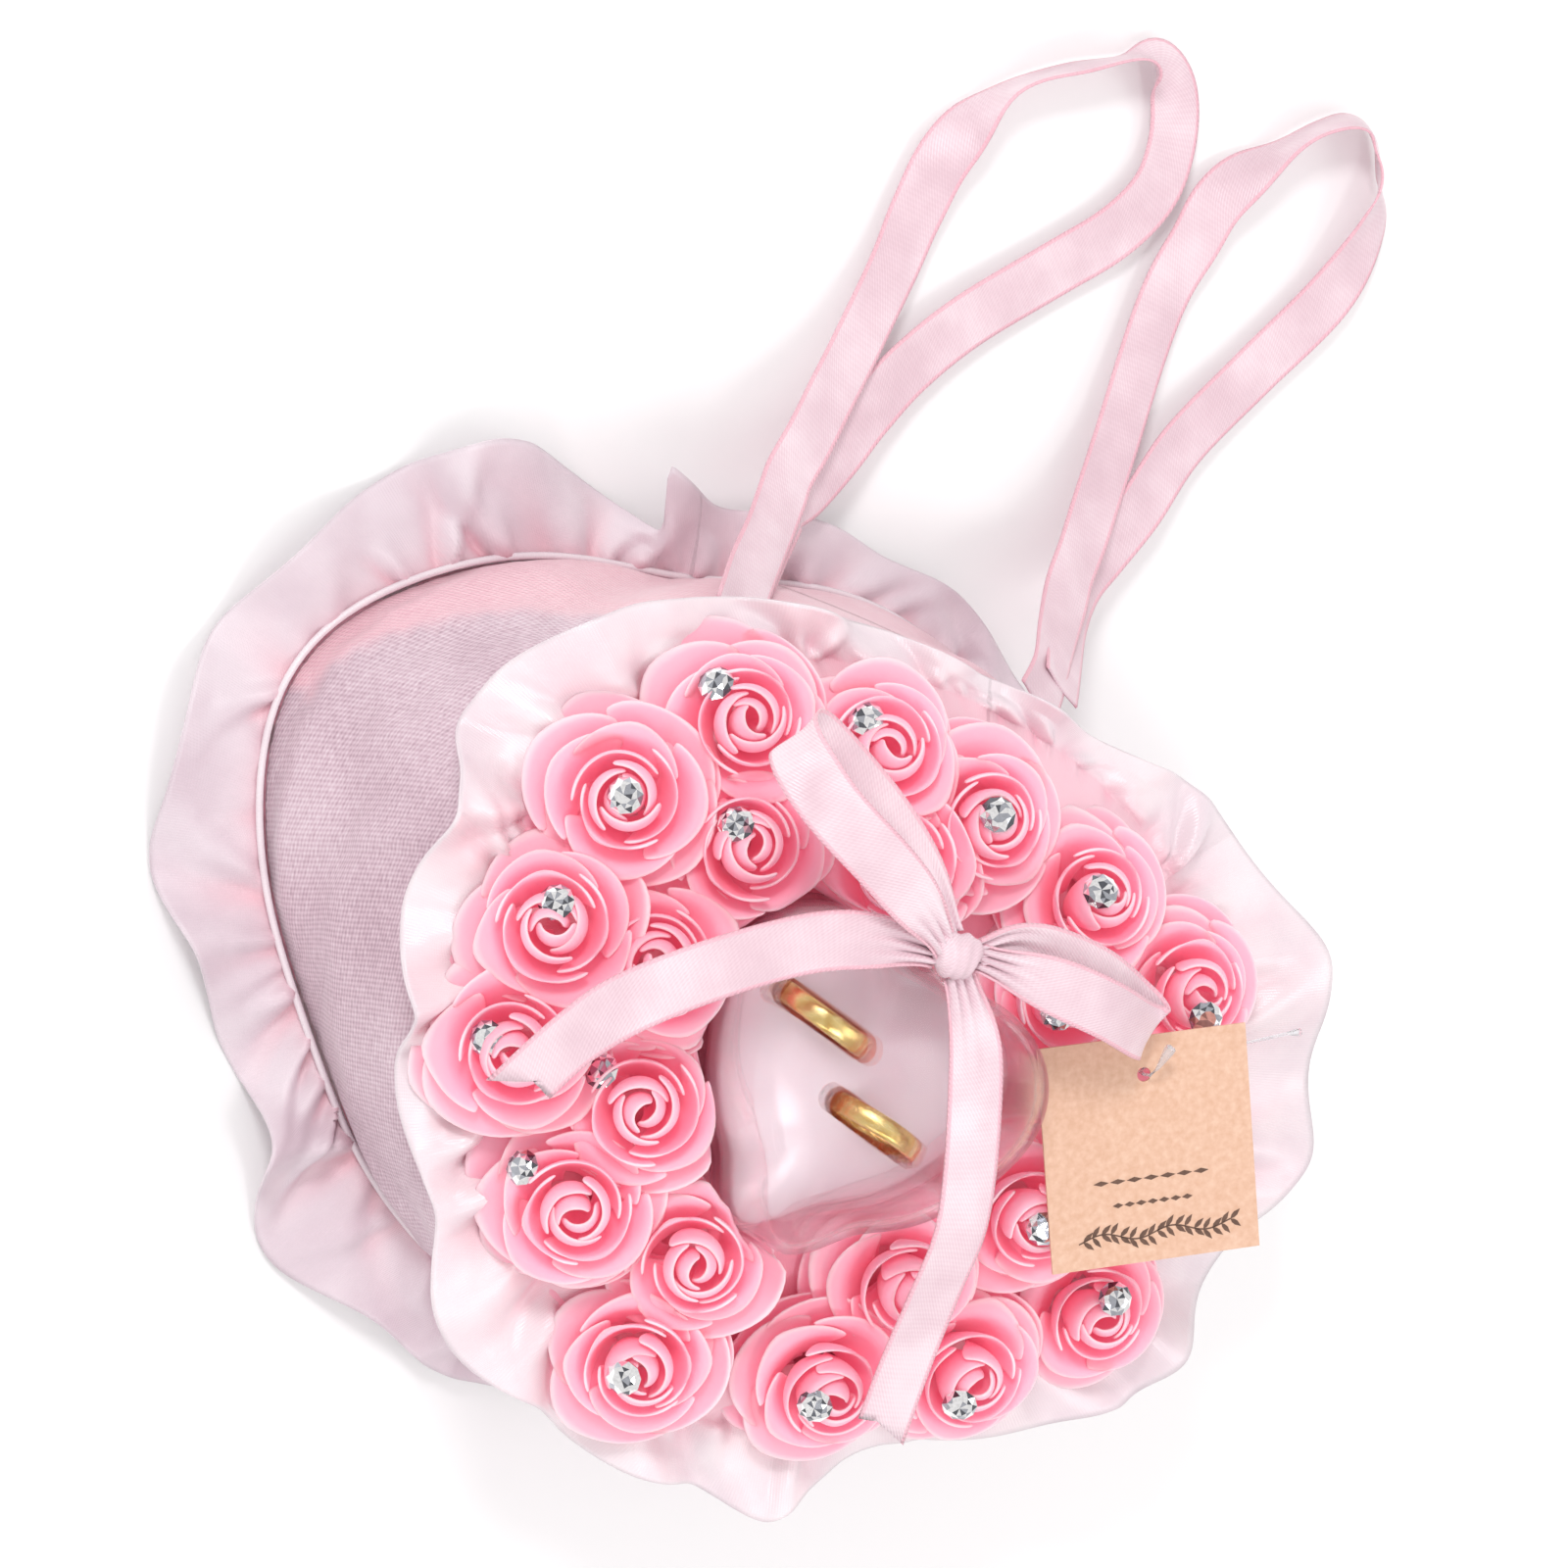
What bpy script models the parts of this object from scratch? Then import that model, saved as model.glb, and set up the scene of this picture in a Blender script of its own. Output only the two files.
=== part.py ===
"""Ring bearer pillow: a stuffed satin heart with a covering of foam roses around a clear heart-shaped
ring box, satin ruffles on both seams, two ribbon handles, a bow on the box and a card tag.

Metres, +Z up. The pillow lies on its back: z = 0 is the flat face it rests on, and the origin is the
middle of that face. The front is sheared towards +X and -Y, as the soft stuffing lets it lean.
"""
import math

import bmesh
import bpy
from mathutils import Matrix, Vector

MM = 0.001
CLEAR = 0.3 * MM  # the gap that touching pieces keep

# Heart outlines: centre, heading of the cleft (degrees clockwise from +Y), mean radius, and how far
# the cleft dips, the two lobes swell and the tip reaches, each as a share of the radius. Then come the
# places where the soft cloth strays from that: degrees from the cleft, spread in degrees, and mm.
BACK = {
    "x": 8 * MM, "y": 6 * MM, "heading": 10, "size": 80 * MM, "dip": 0.16, "lobe": 0.10, "tip": 0.12,
    "strays": ((62, 16, 4), (115, 28, -6)),
}
FRONT = {
    "x": 28 * MM, "y": -13 * MM, "heading": 27, "size": 76 * MM, "dip": 0.05, "lobe": 0.10, "tip": 0.08,
    "strays": (),
}
BACK_HEM = {
    "x": 8 * MM, "y": 6 * MM, "heading": 10, "size": 100 * MM, "dip": 0.18, "lobe": 0.11, "tip": 0.10,
    "strays": ((25, 16, 8), (118, 16, -8), (142, 12, 5), (310, 24, -8)),
}
FRONT_HEM = {
    "x": 28 * MM, "y": -13 * MM, "heading": 27, "size": 93 * MM, "dip": 0.06, "lobe": 0.15, "tip": 0.06,
    "strays": ((22, 30, -7), (148, 12, 7), (265, 42, 17), (340, 26, -7)),
}
BOX = {
    "x": 20.7 * MM, "y": -13.5 * MM, "heading": 38.5, "size": 30.3 * MM,
    "dip": 0.20, "lobe": 0.19, "tip": 0.02,
    "strays": ((180, 14.5, 9),),
}
CLEFT_SPREAD = 0.5
LOBE_ANGLE = 1.15
LOBE_SPREAD = 0.55
TIP_SPREAD = 0.45

# Pillow
BACK_SEAM_Z = 6.5 * MM
FRONT_SEAM_Z = 62 * MM
DOME = 11 * MM  # how far the front face swells above its seam
SIDE_BULGE = 4 * MM
SIDE_ENDS = (1.2 * MM, 1.6 * MM)  # the side band stops this far short of the back and front seams
COVER = 1.2 * MM  # thickness of each fabric cover
RUFFLE = 1.0 * MM
AROUND = 48  # points round each heart of the pillow
BOX_AROUND = 36  # and round those of the ring box
RUFFLE_AROUND = 72

# Ring box
BOX_FLOOR_Z = 73.6 * MM
BOX_BASE = 3 * MM
LID_TOP_Z = 104.5 * MM
LID_WALL = 1.2 * MM
INSERT_RIM_Z = 83 * MM
INSERT_DOME = 6 * MM
RING_RADIUS = 10.6 * MM
RING_WALL = 1.3 * MM
RING_WIDTH = 4.4 * MM
RING_CENTRE_Z = 87.2 * MM
SLOT = (24 * MM, 5.4 * MM, 11.5 * MM)  # length, width, depth below the ring's centre
RING_PLACES = ((3.7 * MM, -14 * MM), (-8 * MM, 9.8 * MM))  # along and across the box's axis

# Roses: the place of each head in mm, and whether a rhinestone sits on it
ROSES = (
    (0, 57, True), (29, 49, True), (-26, 44, True), (-2, 33, True), (52, 33, True), (77, 15, True),
    (-41, 20, True), (-21, 12, False), (-49, -4, True), (-25, -17, True), (-38, -37, True),
    (-14, -50, False), (-24, -72, True), (17, -82, True), (51, -85, True), (83, -77, True),
    (62, -50, True), (102, -8, True), (70, -5, False), (33, -61, False), (31, 27, False),
    (97, -43, False),
)
ROSE_RADIUS = 12 * MM
ROSE_HEIGHT = 16 * MM
GEM_RADIUS = 3.6 * MM
GEM_HEIGHT = 3.4 * MM

# Ribbon, tag and fastener
RIBBON = 12 * MM
RIBBON_THICK = 0.8 * MM
KNOT = Vector((31 * MM, 13 * MM, 108.6 * MM))
TAG = (45 * MM, 47 * MM, 0.6 * MM)
TAG_HOLE = Vector((82 * MM, -20 * MM, 94 * MM))
TAG_NORMAL = Vector((-0.2, 0.08, 1.0)).normalized()
TAG_TURN = math.radians(3)
HOLE_RADIUS = 1.5 * MM
FILAMENT = 0.35 * MM


def mix(a, b, share):
    return a + (b - a) * share


def heart(outline, index, count=AROUND, grow=0.0, scale=1.0):
    """A point of a heart outline, by its number, counted anticlockwise from the cleft."""
    turn = 2 * math.pi * index / count
    off_cleft = min(turn, 2 * math.pi - turn)
    off_tip = math.pi - off_cleft
    shape = 1 - outline["dip"] * math.exp(-((off_cleft / CLEFT_SPREAD) ** 2))
    shape += outline["lobe"] * math.exp(-(((off_cleft - LOBE_ANGLE) / LOBE_SPREAD) ** 2))
    shape += outline["tip"] * math.exp(-((off_tip / TIP_SPREAD) ** 2))
    radius = outline["size"] * shape
    for place, spread, change in outline["strays"]:
        gap = (math.degrees(turn) - place + 180) % 360 - 180
        radius += change * MM * math.exp(-((gap / spread) ** 2))
    radius = radius * scale + grow
    angle = math.radians(90 - outline["heading"]) + turn
    return outline["x"] + radius * math.cos(angle), outline["y"] + radius * math.sin(angle)


def heart_ring(outline, z, grow=0.0, scale=1.0, count=AROUND):
    return [Vector((*heart(outline, i, count, grow, scale), z)) for i in range(count)]


def front_z(share):
    """Height of the front face, from its middle (0) to its seam (1)."""
    return FRONT_SEAM_Z + DOME * (1 - share**4)


def side_ring(share, grow):
    """A ring of the pillow's side wall, from the back seam (0) to the front seam (1)."""
    z = mix(BACK_SEAM_Z + SIDE_ENDS[0], FRONT_SEAM_Z - SIDE_ENDS[1], share)
    bulge = SIDE_BULGE * math.sin(math.pi * share)
    low = heart_ring(BACK, z, grow + bulge)
    high = heart_ring(FRONT, z, grow + bulge)
    return [a.lerp(b, share) for a, b in zip(low, high)]


def front_share(x, y):
    """How far out a place on the front is, as a share of the way to the seam."""
    away = Vector((x - FRONT["x"], y - FRONT["y"]))
    angle = math.atan2(away.y, away.x) - math.radians(90 - FRONT["heading"])
    index = (angle / (2 * math.pi) * AROUND) % AROUND
    edge = Vector(heart(FRONT, index)) - Vector((FRONT["x"], FRONT["y"]))
    return away.length / edge.length


def material(name, colour, roughness, metallic=0.0, alpha=1.0):
    made = bpy.data.materials.get(name) or bpy.data.materials.new(name)
    made.use_nodes = True
    shader = made.node_tree.nodes["Principled BSDF"]
    shader.inputs["Base Color"].default_value = (*colour, 1)
    shader.inputs["Roughness"].default_value = roughness
    shader.inputs["Metallic"].default_value = metallic
    shader.inputs["Alpha"].default_value = alpha
    return made


def add_object(name, data, finish, collection):
    made = bpy.data.objects.new(name, data)
    data.materials.append(finish)
    collection.objects.link(made)
    return made


def mesh_object(name, bm, finish, collection, smooth=True):
    bmesh.ops.recalc_face_normals(bm, faces=bm.faces)
    mesh = bpy.data.meshes.new(name)
    bm.to_mesh(mesh)
    bm.free()
    if smooth:
        mesh.shade_smooth()
        mesh.set_sharp_from_angle(angle=math.radians(35))
    return add_object(name, mesh, finish, collection)


def loft(name, rings, finish, collection, ends="fan"):
    """A solid through rings of points. Its ends are fans or flat, or the last ring meets the first."""
    bm = bmesh.new()
    rows = [[bm.verts.new(point) for point in ring] for ring in rings]
    count = len(rows[0])
    pairs = list(zip(rows, rows[1:]))
    if ends == "closed":
        pairs.append((rows[-1], rows[0]))
    for low, high in pairs:
        for i in range(count):
            j = (i + 1) % count
            bm.faces.new((low[i], low[j], high[j], high[i]))
    if ends == "flat":
        bm.faces.new(rows[0][::-1])
        bm.faces.new(rows[-1])
    if ends == "fan":
        for row, ring in ((rows[0], rings[0]), (rows[-1], rings[-1])):
            middle = bm.verts.new(sum(ring, Vector()) / count)
            for i in range(count):
                bm.faces.new((row[i], row[(i + 1) % count], middle))
    return mesh_object(name, bm, finish, collection)


def turned(name, profile, steps, finish, collection, closed=False):
    """A turned piece: (radius, height) pairs down its outer side, spun round its own Z."""
    mesh = bpy.data.meshes.new(name)
    edges = [(i, i + 1) for i in range(len(profile) - 1)]
    if closed:
        edges.append((len(profile) - 1, 0))
    mesh.from_pydata([(r, 0, z) for r, z in profile], edges, [])
    made = add_object(name, mesh, finish, collection)
    screw = made.modifiers.new("Screw", "SCREW")
    screw.steps = steps
    screw.render_steps = steps
    screw.use_merge_vertices = True
    screw.merge_threshold = 0.00001
    screw.use_smooth_shade = True
    return made


def smooth_route(points, parts=3):
    """Points on the smooth curve through the given ones."""
    given = [Vector(p) * MM for p in points]
    route = []
    for i in range(len(given) - 1):
        before = given[max(i - 1, 0)]
        start = given[i]
        end = given[i + 1]
        after = given[min(i + 2, len(given) - 1)]
        for k in range(parts):
            t = k / parts
            pull_in = (end - before) / 2
            pull_out = (after - start) / 2
            bend = 3 * (end - start) - 2 * pull_in - pull_out
            turn = 2 * (start - end) + pull_in + pull_out
            route.append(start + pull_in * t + bend * t**2 + turn * t**3)
    return route + [given[-1]]


def strip(name, points, ups, finish, collection, parts=3, width=RIBBON):
    """A length of ribbon along a route. ups holds, for each given point, which way its face looks."""
    route = smooth_route(points, parts)
    faces = smooth_route(ups, parts)
    rings = []
    for i, point in enumerate(route):
        along = route[min(i + 1, len(route) - 1)] - route[max(i - 1, 0)]
        across = along.cross(faces[i]).normalized() * (width / 2)
        out = across.cross(along).normalized() * (RIBBON_THICK / 2)
        corners = ((-1, -1), (1, -1), (1, 1), (-1, 1))
        rings.append([point + across * a + out * b for a, b in corners])
    return loft(name, rings, finish, collection, ends="flat")


def rod(name, points, radii, finish, collection, sides=6):
    """A round rod along a route, with a radius at each of its points."""
    route = [Vector(p) * MM for p in points]
    rings = []
    for i, point in enumerate(route):
        along = (route[min(i + 1, len(route) - 1)] - route[max(i - 1, 0)]).normalized()
        first = along.orthogonal().normalized()
        second = along.cross(first)
        turns = [2 * math.pi * k / sides for k in range(sides)]
        rings.append([point + radii[i] * (first * math.cos(a) + second * math.sin(a)) for a in turns])
    return loft(name, rings, finish, collection, ends="flat")


def make_pillow(parts, finishes):
    """The stuffing and the three covers around it."""
    satin = finishes["satin"]
    back = [
        heart_ring(BACK, 0, -9 * MM),
        heart_ring(BACK, 2.6 * MM, -2 * MM),
        heart_ring(BACK, BACK_SEAM_Z - 0.6 * MM, 2 * MM),
        heart_ring(BACK, BACK_SEAM_Z, 1.6 * MM),
        heart_ring(BACK, BACK_SEAM_Z - 1.4 * MM, -0.2 * MM),
        heart_ring(BACK, 3.4 * MM, -3.4 * MM),
        heart_ring(BACK, COVER, -9.4 * MM),
    ]
    loft("back_panel", back, satin, parts)

    walls = [0, 0.25, 0.5, 0.75, 1]
    core = [heart_ring(BACK, COVER + CLEAR, -10.2 * MM), heart_ring(BACK, 4.4 * MM, -4 * MM)]
    core += [side_ring(share, -0.9 * MM) for share in walls]
    under = COVER + CLEAR
    core += [heart_ring(FRONT, front_z(s) - under, -2 * MM * s, s) for s in (0.93, 0.8, 0.6, 0.35)]
    loft("stuffing", core, finishes["filling"], parts)

    outer = [side_ring(share, COVER) for share in walls]
    inner = [side_ring(share, 0) for share in reversed(walls)]
    loft("side_band", outer + inner, finishes["band"], parts, ends="closed")

    shares = (1, 0.93, 0.8, 0.6, 0.35)
    cover = [heart_ring(FRONT, front_z(s) - COVER, scale=s) for s in reversed(shares)]
    cover += [heart_ring(FRONT, front_z(s), scale=s) for s in shares]
    loft("front_cover", cover, satin, parts)


def make_ruffle(name, edges, heights, folds, wave, finish, parts):
    """A gathered frill from its sewn edge to its hem: it waves more towards the hem."""
    seam, hem = edges
    count = RUFFLE_AROUND
    stations = (0, 0.35, 0.7, 1)
    rings = []
    for lift, order in ((RUFFLE / 2, stations), (-RUFFLE / 2, stations[::-1])):
        for share in order:
            ring = []
            for i in range(count):
                x0, y0 = heart(seam, i, count, 2.6 * MM)
                x1, y1 = heart(hem, i, count)
                turn = 2 * math.pi * i / count
                swing = math.sin(folds * turn) + 0.5 * math.sin((folds // 2 + 2) * turn + 1)
                z = mix(*heights, share) + wave * share * swing + lift
                ring.append(Vector((mix(x0, x1, share), mix(y0, y1, share), z)))
            rings.append(ring)
    return loft(name, rings, finish, parts, ends="closed")


def make_box(parts, cutters, finishes):
    """The ring box: base, slotted insert, clear lid and the two bands that stand in the slots."""
    base_top = BOX_FLOOR_Z + BOX_BASE
    count = BOX_AROUND
    rim = [heart_ring(BOX, BOX_FLOOR_Z, -1 * MM, count=count)]
    rim += [heart_ring(BOX, z, 0.8 * MM, count=count) for z in (BOX_FLOOR_Z + 0.8 * MM, base_top)]
    loft("ring_box_base", rim, finishes["clear"], parts)

    inner = -LID_WALL
    shell = [
        heart_ring(BOX, LID_TOP_Z - LID_WALL, inner, 0.8, count),
        heart_ring(BOX, LID_TOP_Z - LID_WALL - 1 * MM, inner, count=count),
        heart_ring(BOX, base_top + CLEAR, inner, count=count),
        heart_ring(BOX, base_top + CLEAR, 0, count=count),
        heart_ring(BOX, LID_TOP_Z - 1.6 * MM, 0, count=count),
        heart_ring(BOX, LID_TOP_Z, -2 * MM, count=count),
    ]
    loft("box_lid", shell, finishes["clear"], parts)

    gap = -LID_WALL - 0.6 * MM
    pad = [heart_ring(BOX, z, gap, count=count) for z in (base_top + CLEAR, INSERT_RIM_Z)]
    for share in (0.85, 0.6, 0.3):
        pad.append(heart_ring(BOX, INSERT_RIM_Z + INSERT_DOME * (1 - share**2), gap * share, share, count))
    insert = loft("ring_insert", pad, finishes["pearl"], parts)

    heading = math.radians(-BOX["heading"])
    turn = Matrix.Rotation(heading, 4, "Z")
    for number, (along, across) in enumerate(RING_PLACES, 1):
        place = Vector((BOX["x"], BOX["y"], RING_CENTRE_Z)) + turn @ Vector((across, along, 0))
        bm = bmesh.new()
        bmesh.ops.create_cube(bm, size=1)
        bmesh.ops.scale(bm, vec=(SLOT[0], SLOT[1], 2 * SLOT[2]), verts=bm.verts)
        cutter = mesh_object(f"slot_cutter_{number}", bm, finishes["pearl"], cutters, smooth=False)
        cutter.matrix_world = Matrix.Translation(place) @ turn
        cutter.hide_render = True
        cutter.display_type = "WIRE"
        cut = insert.modifiers.new(f"Slot {number}", "BOOLEAN")
        cut.operation = "DIFFERENCE"
        cut.solver = "EXACT"
        cut.object = cutter

        half = RING_WIDTH / 2
        edge = 0.4 * MM
        profile = [
            (RING_RADIUS - edge, half),
            (RING_RADIUS, half - edge),
            (RING_RADIUS, edge - half),
            (RING_RADIUS - edge, -half),
            (RING_RADIUS - RING_WALL, -half),
            (RING_RADIUS - RING_WALL, half),
        ]
        ring = turned(f"ring_{number}", profile, 28, finishes["gold"], parts, closed=True)
        ring.matrix_world = Matrix.Translation(place) @ turn @ Matrix.Rotation(math.pi / 2, 4, "X")


def rose_radius(number):
    """As wide as a rose can be without meeting its neighbours or the ring box."""
    x, y, _ = ROSES[number]
    here = Vector((x, y)) * MM
    others = [Vector(rose[:2]) * MM for i, rose in enumerate(ROSES) if i != number]
    room = [(here - other).length / 2 - CLEAR / 2 for other in others]
    box_edge = min((here - Vector(heart(BOX, i, BOX_AROUND, 0.8 * MM))).length for i in range(BOX_AROUND))
    return min(ROSE_RADIUS, box_edge - 2 * CLEAR, *room)


def make_roses(parts, finishes):
    """The foam rose heads, upright on the front face, and the rhinestones glued on them."""
    for number, (x, y, stone) in enumerate(ROSES):
        radius = rose_radius(number)
        foot = 0.45 * radius
        away = Vector((x * MM - FRONT["x"], y * MM - FRONT["y"]))
        inner = away * (1 - foot / away.length)
        share = min(front_share(FRONT["x"] + inner.x, FRONT["y"] + inner.y), 1)
        seat = front_z(share) + CLEAR
        profile = [
            (0, ROSE_HEIGHT),
            (0.55 * radius, ROSE_HEIGHT - 0.6 * MM),
            (0.95 * radius, 0.72 * ROSE_HEIGHT),
            (radius, 0.58 * ROSE_HEIGHT),
            (foot, 0),
            (0, 0),
        ]
        name = f"rose_{number + 1:02d}"
        rose = turned(name, profile, 10, finishes["foam"], parts)
        rose.location = (x * MM, y * MM, seat)
        if stone:
            cut = [
                (0, GEM_HEIGHT),
                (0.55 * GEM_RADIUS, GEM_HEIGHT),
                (GEM_RADIUS, 0.6 * GEM_HEIGHT),
                (0.3 * GEM_RADIUS, 0),
                (0, 0),
            ]
            gem = turned(f"gem_{number + 1:02d}", cut, 8, finishes["gem"], parts)
            gem.location = (x * MM, y * MM, seat + ROSE_HEIGHT + CLEAR)


def make_bow(parts, finishes):
    """The bow on the lid: a knot, two loops and two tails."""
    ribbon = finishes["ribbon"]
    bm = bmesh.new()
    bmesh.ops.create_uvsphere(bm, u_segments=10, v_segments=6, radius=1)
    bmesh.ops.scale(bm, vec=(6 * MM, 5 * MM, 3.4 * MM), verts=bm.verts)
    knot = mesh_object("bow_knot", bm, ribbon, parts)
    knot.location = KNOT
    up = (0, 0, 1)
    down = (0, 0, -1)
    upper = (
        (26, 18, 109.4), (18, 28, 114), (4, 44, 115), (-3, 55, 111), (-5, 58, 107), (-1, 52, 103.6),
        (10, 37, 104.6), (21, 25, 106),
    )
    upper_faces = (up, up, up, (-0.7, 0.5, 0.7), (-1, 1, 0), (-0.4, 0.4, -1), down, down)
    strip("bow_loop_upper", upper, upper_faces, ribbon, parts, 2)
    right = (
        (38, 11, 109.4), (50, 6, 113), (64, -1, 111), (76, -8, 104), (80, -10.5, 100), (75, -7, 98.4),
        (63, 0, 104), (44, 9, 106),
    )
    right_faces = (up, up, up, (0.7, -0.3, 0.7), (1, -0.5, 0), (0.4, -0.2, -1), down, down)
    strip("bow_loop_right", right, right_faces, ribbon, parts, 2)
    left = (
        (24, 14, 107.4), (14, 17, 108), (1, 18, 106), (-18, 14, 102), (-34, 8, 97), (-47, -1, 93),
        (-57, -11, 91),
    )
    strip("bow_tail_left", left, (up,) * 7, ribbon, parts, 2)
    lower = (
        (33, 6.5, 108), (35, -3, 108), (36, -14, 107.4), (35.5, -30, 107), (34, -44, 105.4),
        (31, -58, 99.5), (28, -72, 94.5), (24, -88, 91),
    )
    strip("bow_tail_down", lower, (up,) * 8, ribbon, parts, 2)


def make_tag(parts, finishes):
    """The card tag on its nylon fastener."""
    wide, tall, thick = TAG
    card = bpy.data.curves.new("tag_card", "CURVE")
    card.dimensions = "2D"
    card.fill_mode = "BOTH"
    card.extrude = thick / 2
    top = 8 * MM
    corners = ((-wide / 2, top), (wide / 2, top), (wide / 2, top - tall), (-wide / 2, top - tall))
    turns = [math.pi * k / 8 for k in range(16)]
    hole = [(HOLE_RADIUS * math.cos(a), HOLE_RADIUS * math.sin(a)) for a in turns]
    for outline in (corners, hole):
        spline = card.splines.new("POLY")
        spline.points.add(len(outline) - 1)
        spline.use_cyclic_u = True
        for point, (x, y) in zip(spline.points, outline):
            point.co = (x, y, 0, 1)
    tag = add_object("tag_card", card, finishes["card"], parts)
    tilt = Vector((0, 0, 1)).rotation_difference(TAG_NORMAL).to_matrix().to_4x4()
    tag.matrix_world = Matrix.Translation(TAG_HOLE) @ tilt @ Matrix.Rotation(TAG_TURN, 4, "Z")

    route = (
        (84, -13, 101.5), (83.6, -14, 101), (82.4, -18, 98.6), (82.1, -19.7, 96.4), (82, -20, 94),
        (82.4, -20, 92), (84, -19.6, 90.6), (89, -18.6, 90), (100, -18, 90.6), (118, -16, 91.4),
        (121, -16, 91.4),
    )
    radii = [1.1 * MM, 1.1 * MM] + [FILAMENT] * 7 + [FILAMENT, 0.9 * MM]
    rod("tag_fastener", route, radii, finishes["nylon"], parts)


def make_handles(parts, finishes):
    """Two ribbon loops: a sewn end under the front ruffle, and the free loop that lies beyond it."""
    ribbon = finishes["ribbon"]
    up = (0, 0, 1)
    left_base = ((15, 75.5, 45), (21, 80.5, 38.4), (27, 85.6, 31.8), (31, 89.5, 27.6))
    left_faces = ((0.5, 0.6, 0.6), (0.4, 0.5, 0.8), (0.2, 0.3, 0.9), up)
    strip("handle_left_base", left_base, left_faces, ribbon, parts, 2)
    on_edge = (-0.3, 0.8, 0.5)
    left = (
        (36, 95, 22.8), (44, 103, 16.5), (51.5, 111.5, 11), (60, 122, 7), (70, 137, 5), (83, 161, 5),
        (96, 173, 6.5), (113, 178, 7), (130, 179.5, 7), (138, 172, 6), (138, 161, 5), (134, 150, 5),
        (124, 142.5, 5), (109, 135, 4.5), (88, 125, 4), (74, 116, 4.5), (62, 106, 7), (52, 97, 11),
        (44, 90.5, 15),
    )
    left_faces = (up,) * 6 + (on_edge,) * 3 + (up,) * 10
    strip("handle_left_loop", left, left_faces, ribbon, parts, 2, 11 * MM)
    right_base = ((86, 57, 44), (93, 62, 36), (100.2, 67.3, 26.8), (103.8, 70, 22.2))
    right_faces = ((0.8, 0.6, 0.3), (0.6, 0.5, 0.7), (0.2, 0.4, 1), up)
    strip("handle_right_base", right_base, right_faces, ribbon, parts, 2)
    right = (
        (107.5, 73.5, 18), (112, 79, 14), (117, 87, 9), (123, 98, 6), (136, 127, 4.5), (151, 150, 5),
        (164, 159, 6), (175, 163, 6), (184, 160, 7), (188, 151, 6), (186, 139, 5), (177, 126, 4.5),
        (159, 111, 4.5), (140, 96, 5.5), (129, 83, 8), (119, 71, 12),
    )
    strip("handle_right_loop", right, (up,) * 16, ribbon, parts, 2, 11 * MM)


def main():
    for old in list(bpy.data.objects):
        bpy.data.objects.remove(old, do_unlink=True)
    parts = bpy.data.collections.new("ring_bearer_pillow")
    cutters = bpy.data.collections.new("cutters")
    for collection in (parts, cutters):
        bpy.context.scene.collection.children.link(collection)
    finishes = {
        "satin": material("white_pink_satin", (0.93, 0.78, 0.82), 0.35),
        "band": material("pink_satin", (0.80, 0.52, 0.60), 0.45),
        "filling": material("fibre_filling", (0.9, 0.9, 0.9), 0.95),
        "foam": material("pink_foam", (0.95, 0.50, 0.58), 0.7),
        "gem": material("rhinestone", (0.85, 0.87, 0.9), 0.1, 0.6),
        "clear": material("clear_plastic", (0.95, 0.92, 0.94), 0.08, alpha=0.35),
        "pearl": material("pearl_plastic", (0.88, 0.80, 0.84), 0.25),
        "gold": material("gold", (0.80, 0.60, 0.25), 0.25, 1.0),
        "ribbon": material("pink_ribbon", (0.90, 0.66, 0.72), 0.4),
        "card": material("kraft_card", (0.72, 0.47, 0.36), 0.85),
        "nylon": material("nylon", (0.9, 0.9, 0.92), 0.3, alpha=0.6),
    }
    make_pillow(parts, finishes)
    satin = finishes["satin"]
    make_ruffle("back_ruffle", (BACK, BACK_HEM), (BACK_SEAM_Z, 5.2 * MM), 16, 2.2 * MM, satin, parts)
    front_heights = (FRONT_SEAM_Z - 1 * MM, FRONT_SEAM_Z - 1 * MM)
    make_ruffle("front_ruffle", (FRONT, FRONT_HEM), front_heights, 14, 2.4 * MM, satin, parts)
    make_box(parts, cutters, finishes)
    make_roses(parts, finishes)
    make_bow(parts, finishes)
    make_tag(parts, finishes)
    make_handles(parts, finishes)


main()
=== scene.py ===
"""Ring bearer pillow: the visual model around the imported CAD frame. Metres, +Z up, the frame's own axes."""
import math
import random

import bmesh
import bpy
import numpy as np
from mathutils import Matrix, Vector


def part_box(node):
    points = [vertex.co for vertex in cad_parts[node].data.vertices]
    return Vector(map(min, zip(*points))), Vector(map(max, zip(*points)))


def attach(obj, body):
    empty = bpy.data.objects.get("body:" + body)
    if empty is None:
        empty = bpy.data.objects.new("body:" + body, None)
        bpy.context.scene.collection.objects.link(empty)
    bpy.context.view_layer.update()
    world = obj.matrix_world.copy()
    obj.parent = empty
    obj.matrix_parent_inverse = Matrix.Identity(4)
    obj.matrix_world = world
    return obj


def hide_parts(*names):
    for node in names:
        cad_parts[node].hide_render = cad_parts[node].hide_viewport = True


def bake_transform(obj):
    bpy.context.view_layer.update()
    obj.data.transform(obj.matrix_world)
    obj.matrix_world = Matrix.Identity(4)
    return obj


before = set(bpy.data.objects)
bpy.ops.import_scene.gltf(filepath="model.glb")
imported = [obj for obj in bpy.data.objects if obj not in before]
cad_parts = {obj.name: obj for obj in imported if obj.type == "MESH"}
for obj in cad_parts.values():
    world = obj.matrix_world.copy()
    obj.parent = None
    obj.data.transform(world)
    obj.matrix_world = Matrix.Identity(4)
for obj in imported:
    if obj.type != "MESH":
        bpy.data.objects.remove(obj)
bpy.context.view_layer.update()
MM = 0.001
UP = (0, 0, 1)
DOWN = (0, 0, -1)


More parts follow.
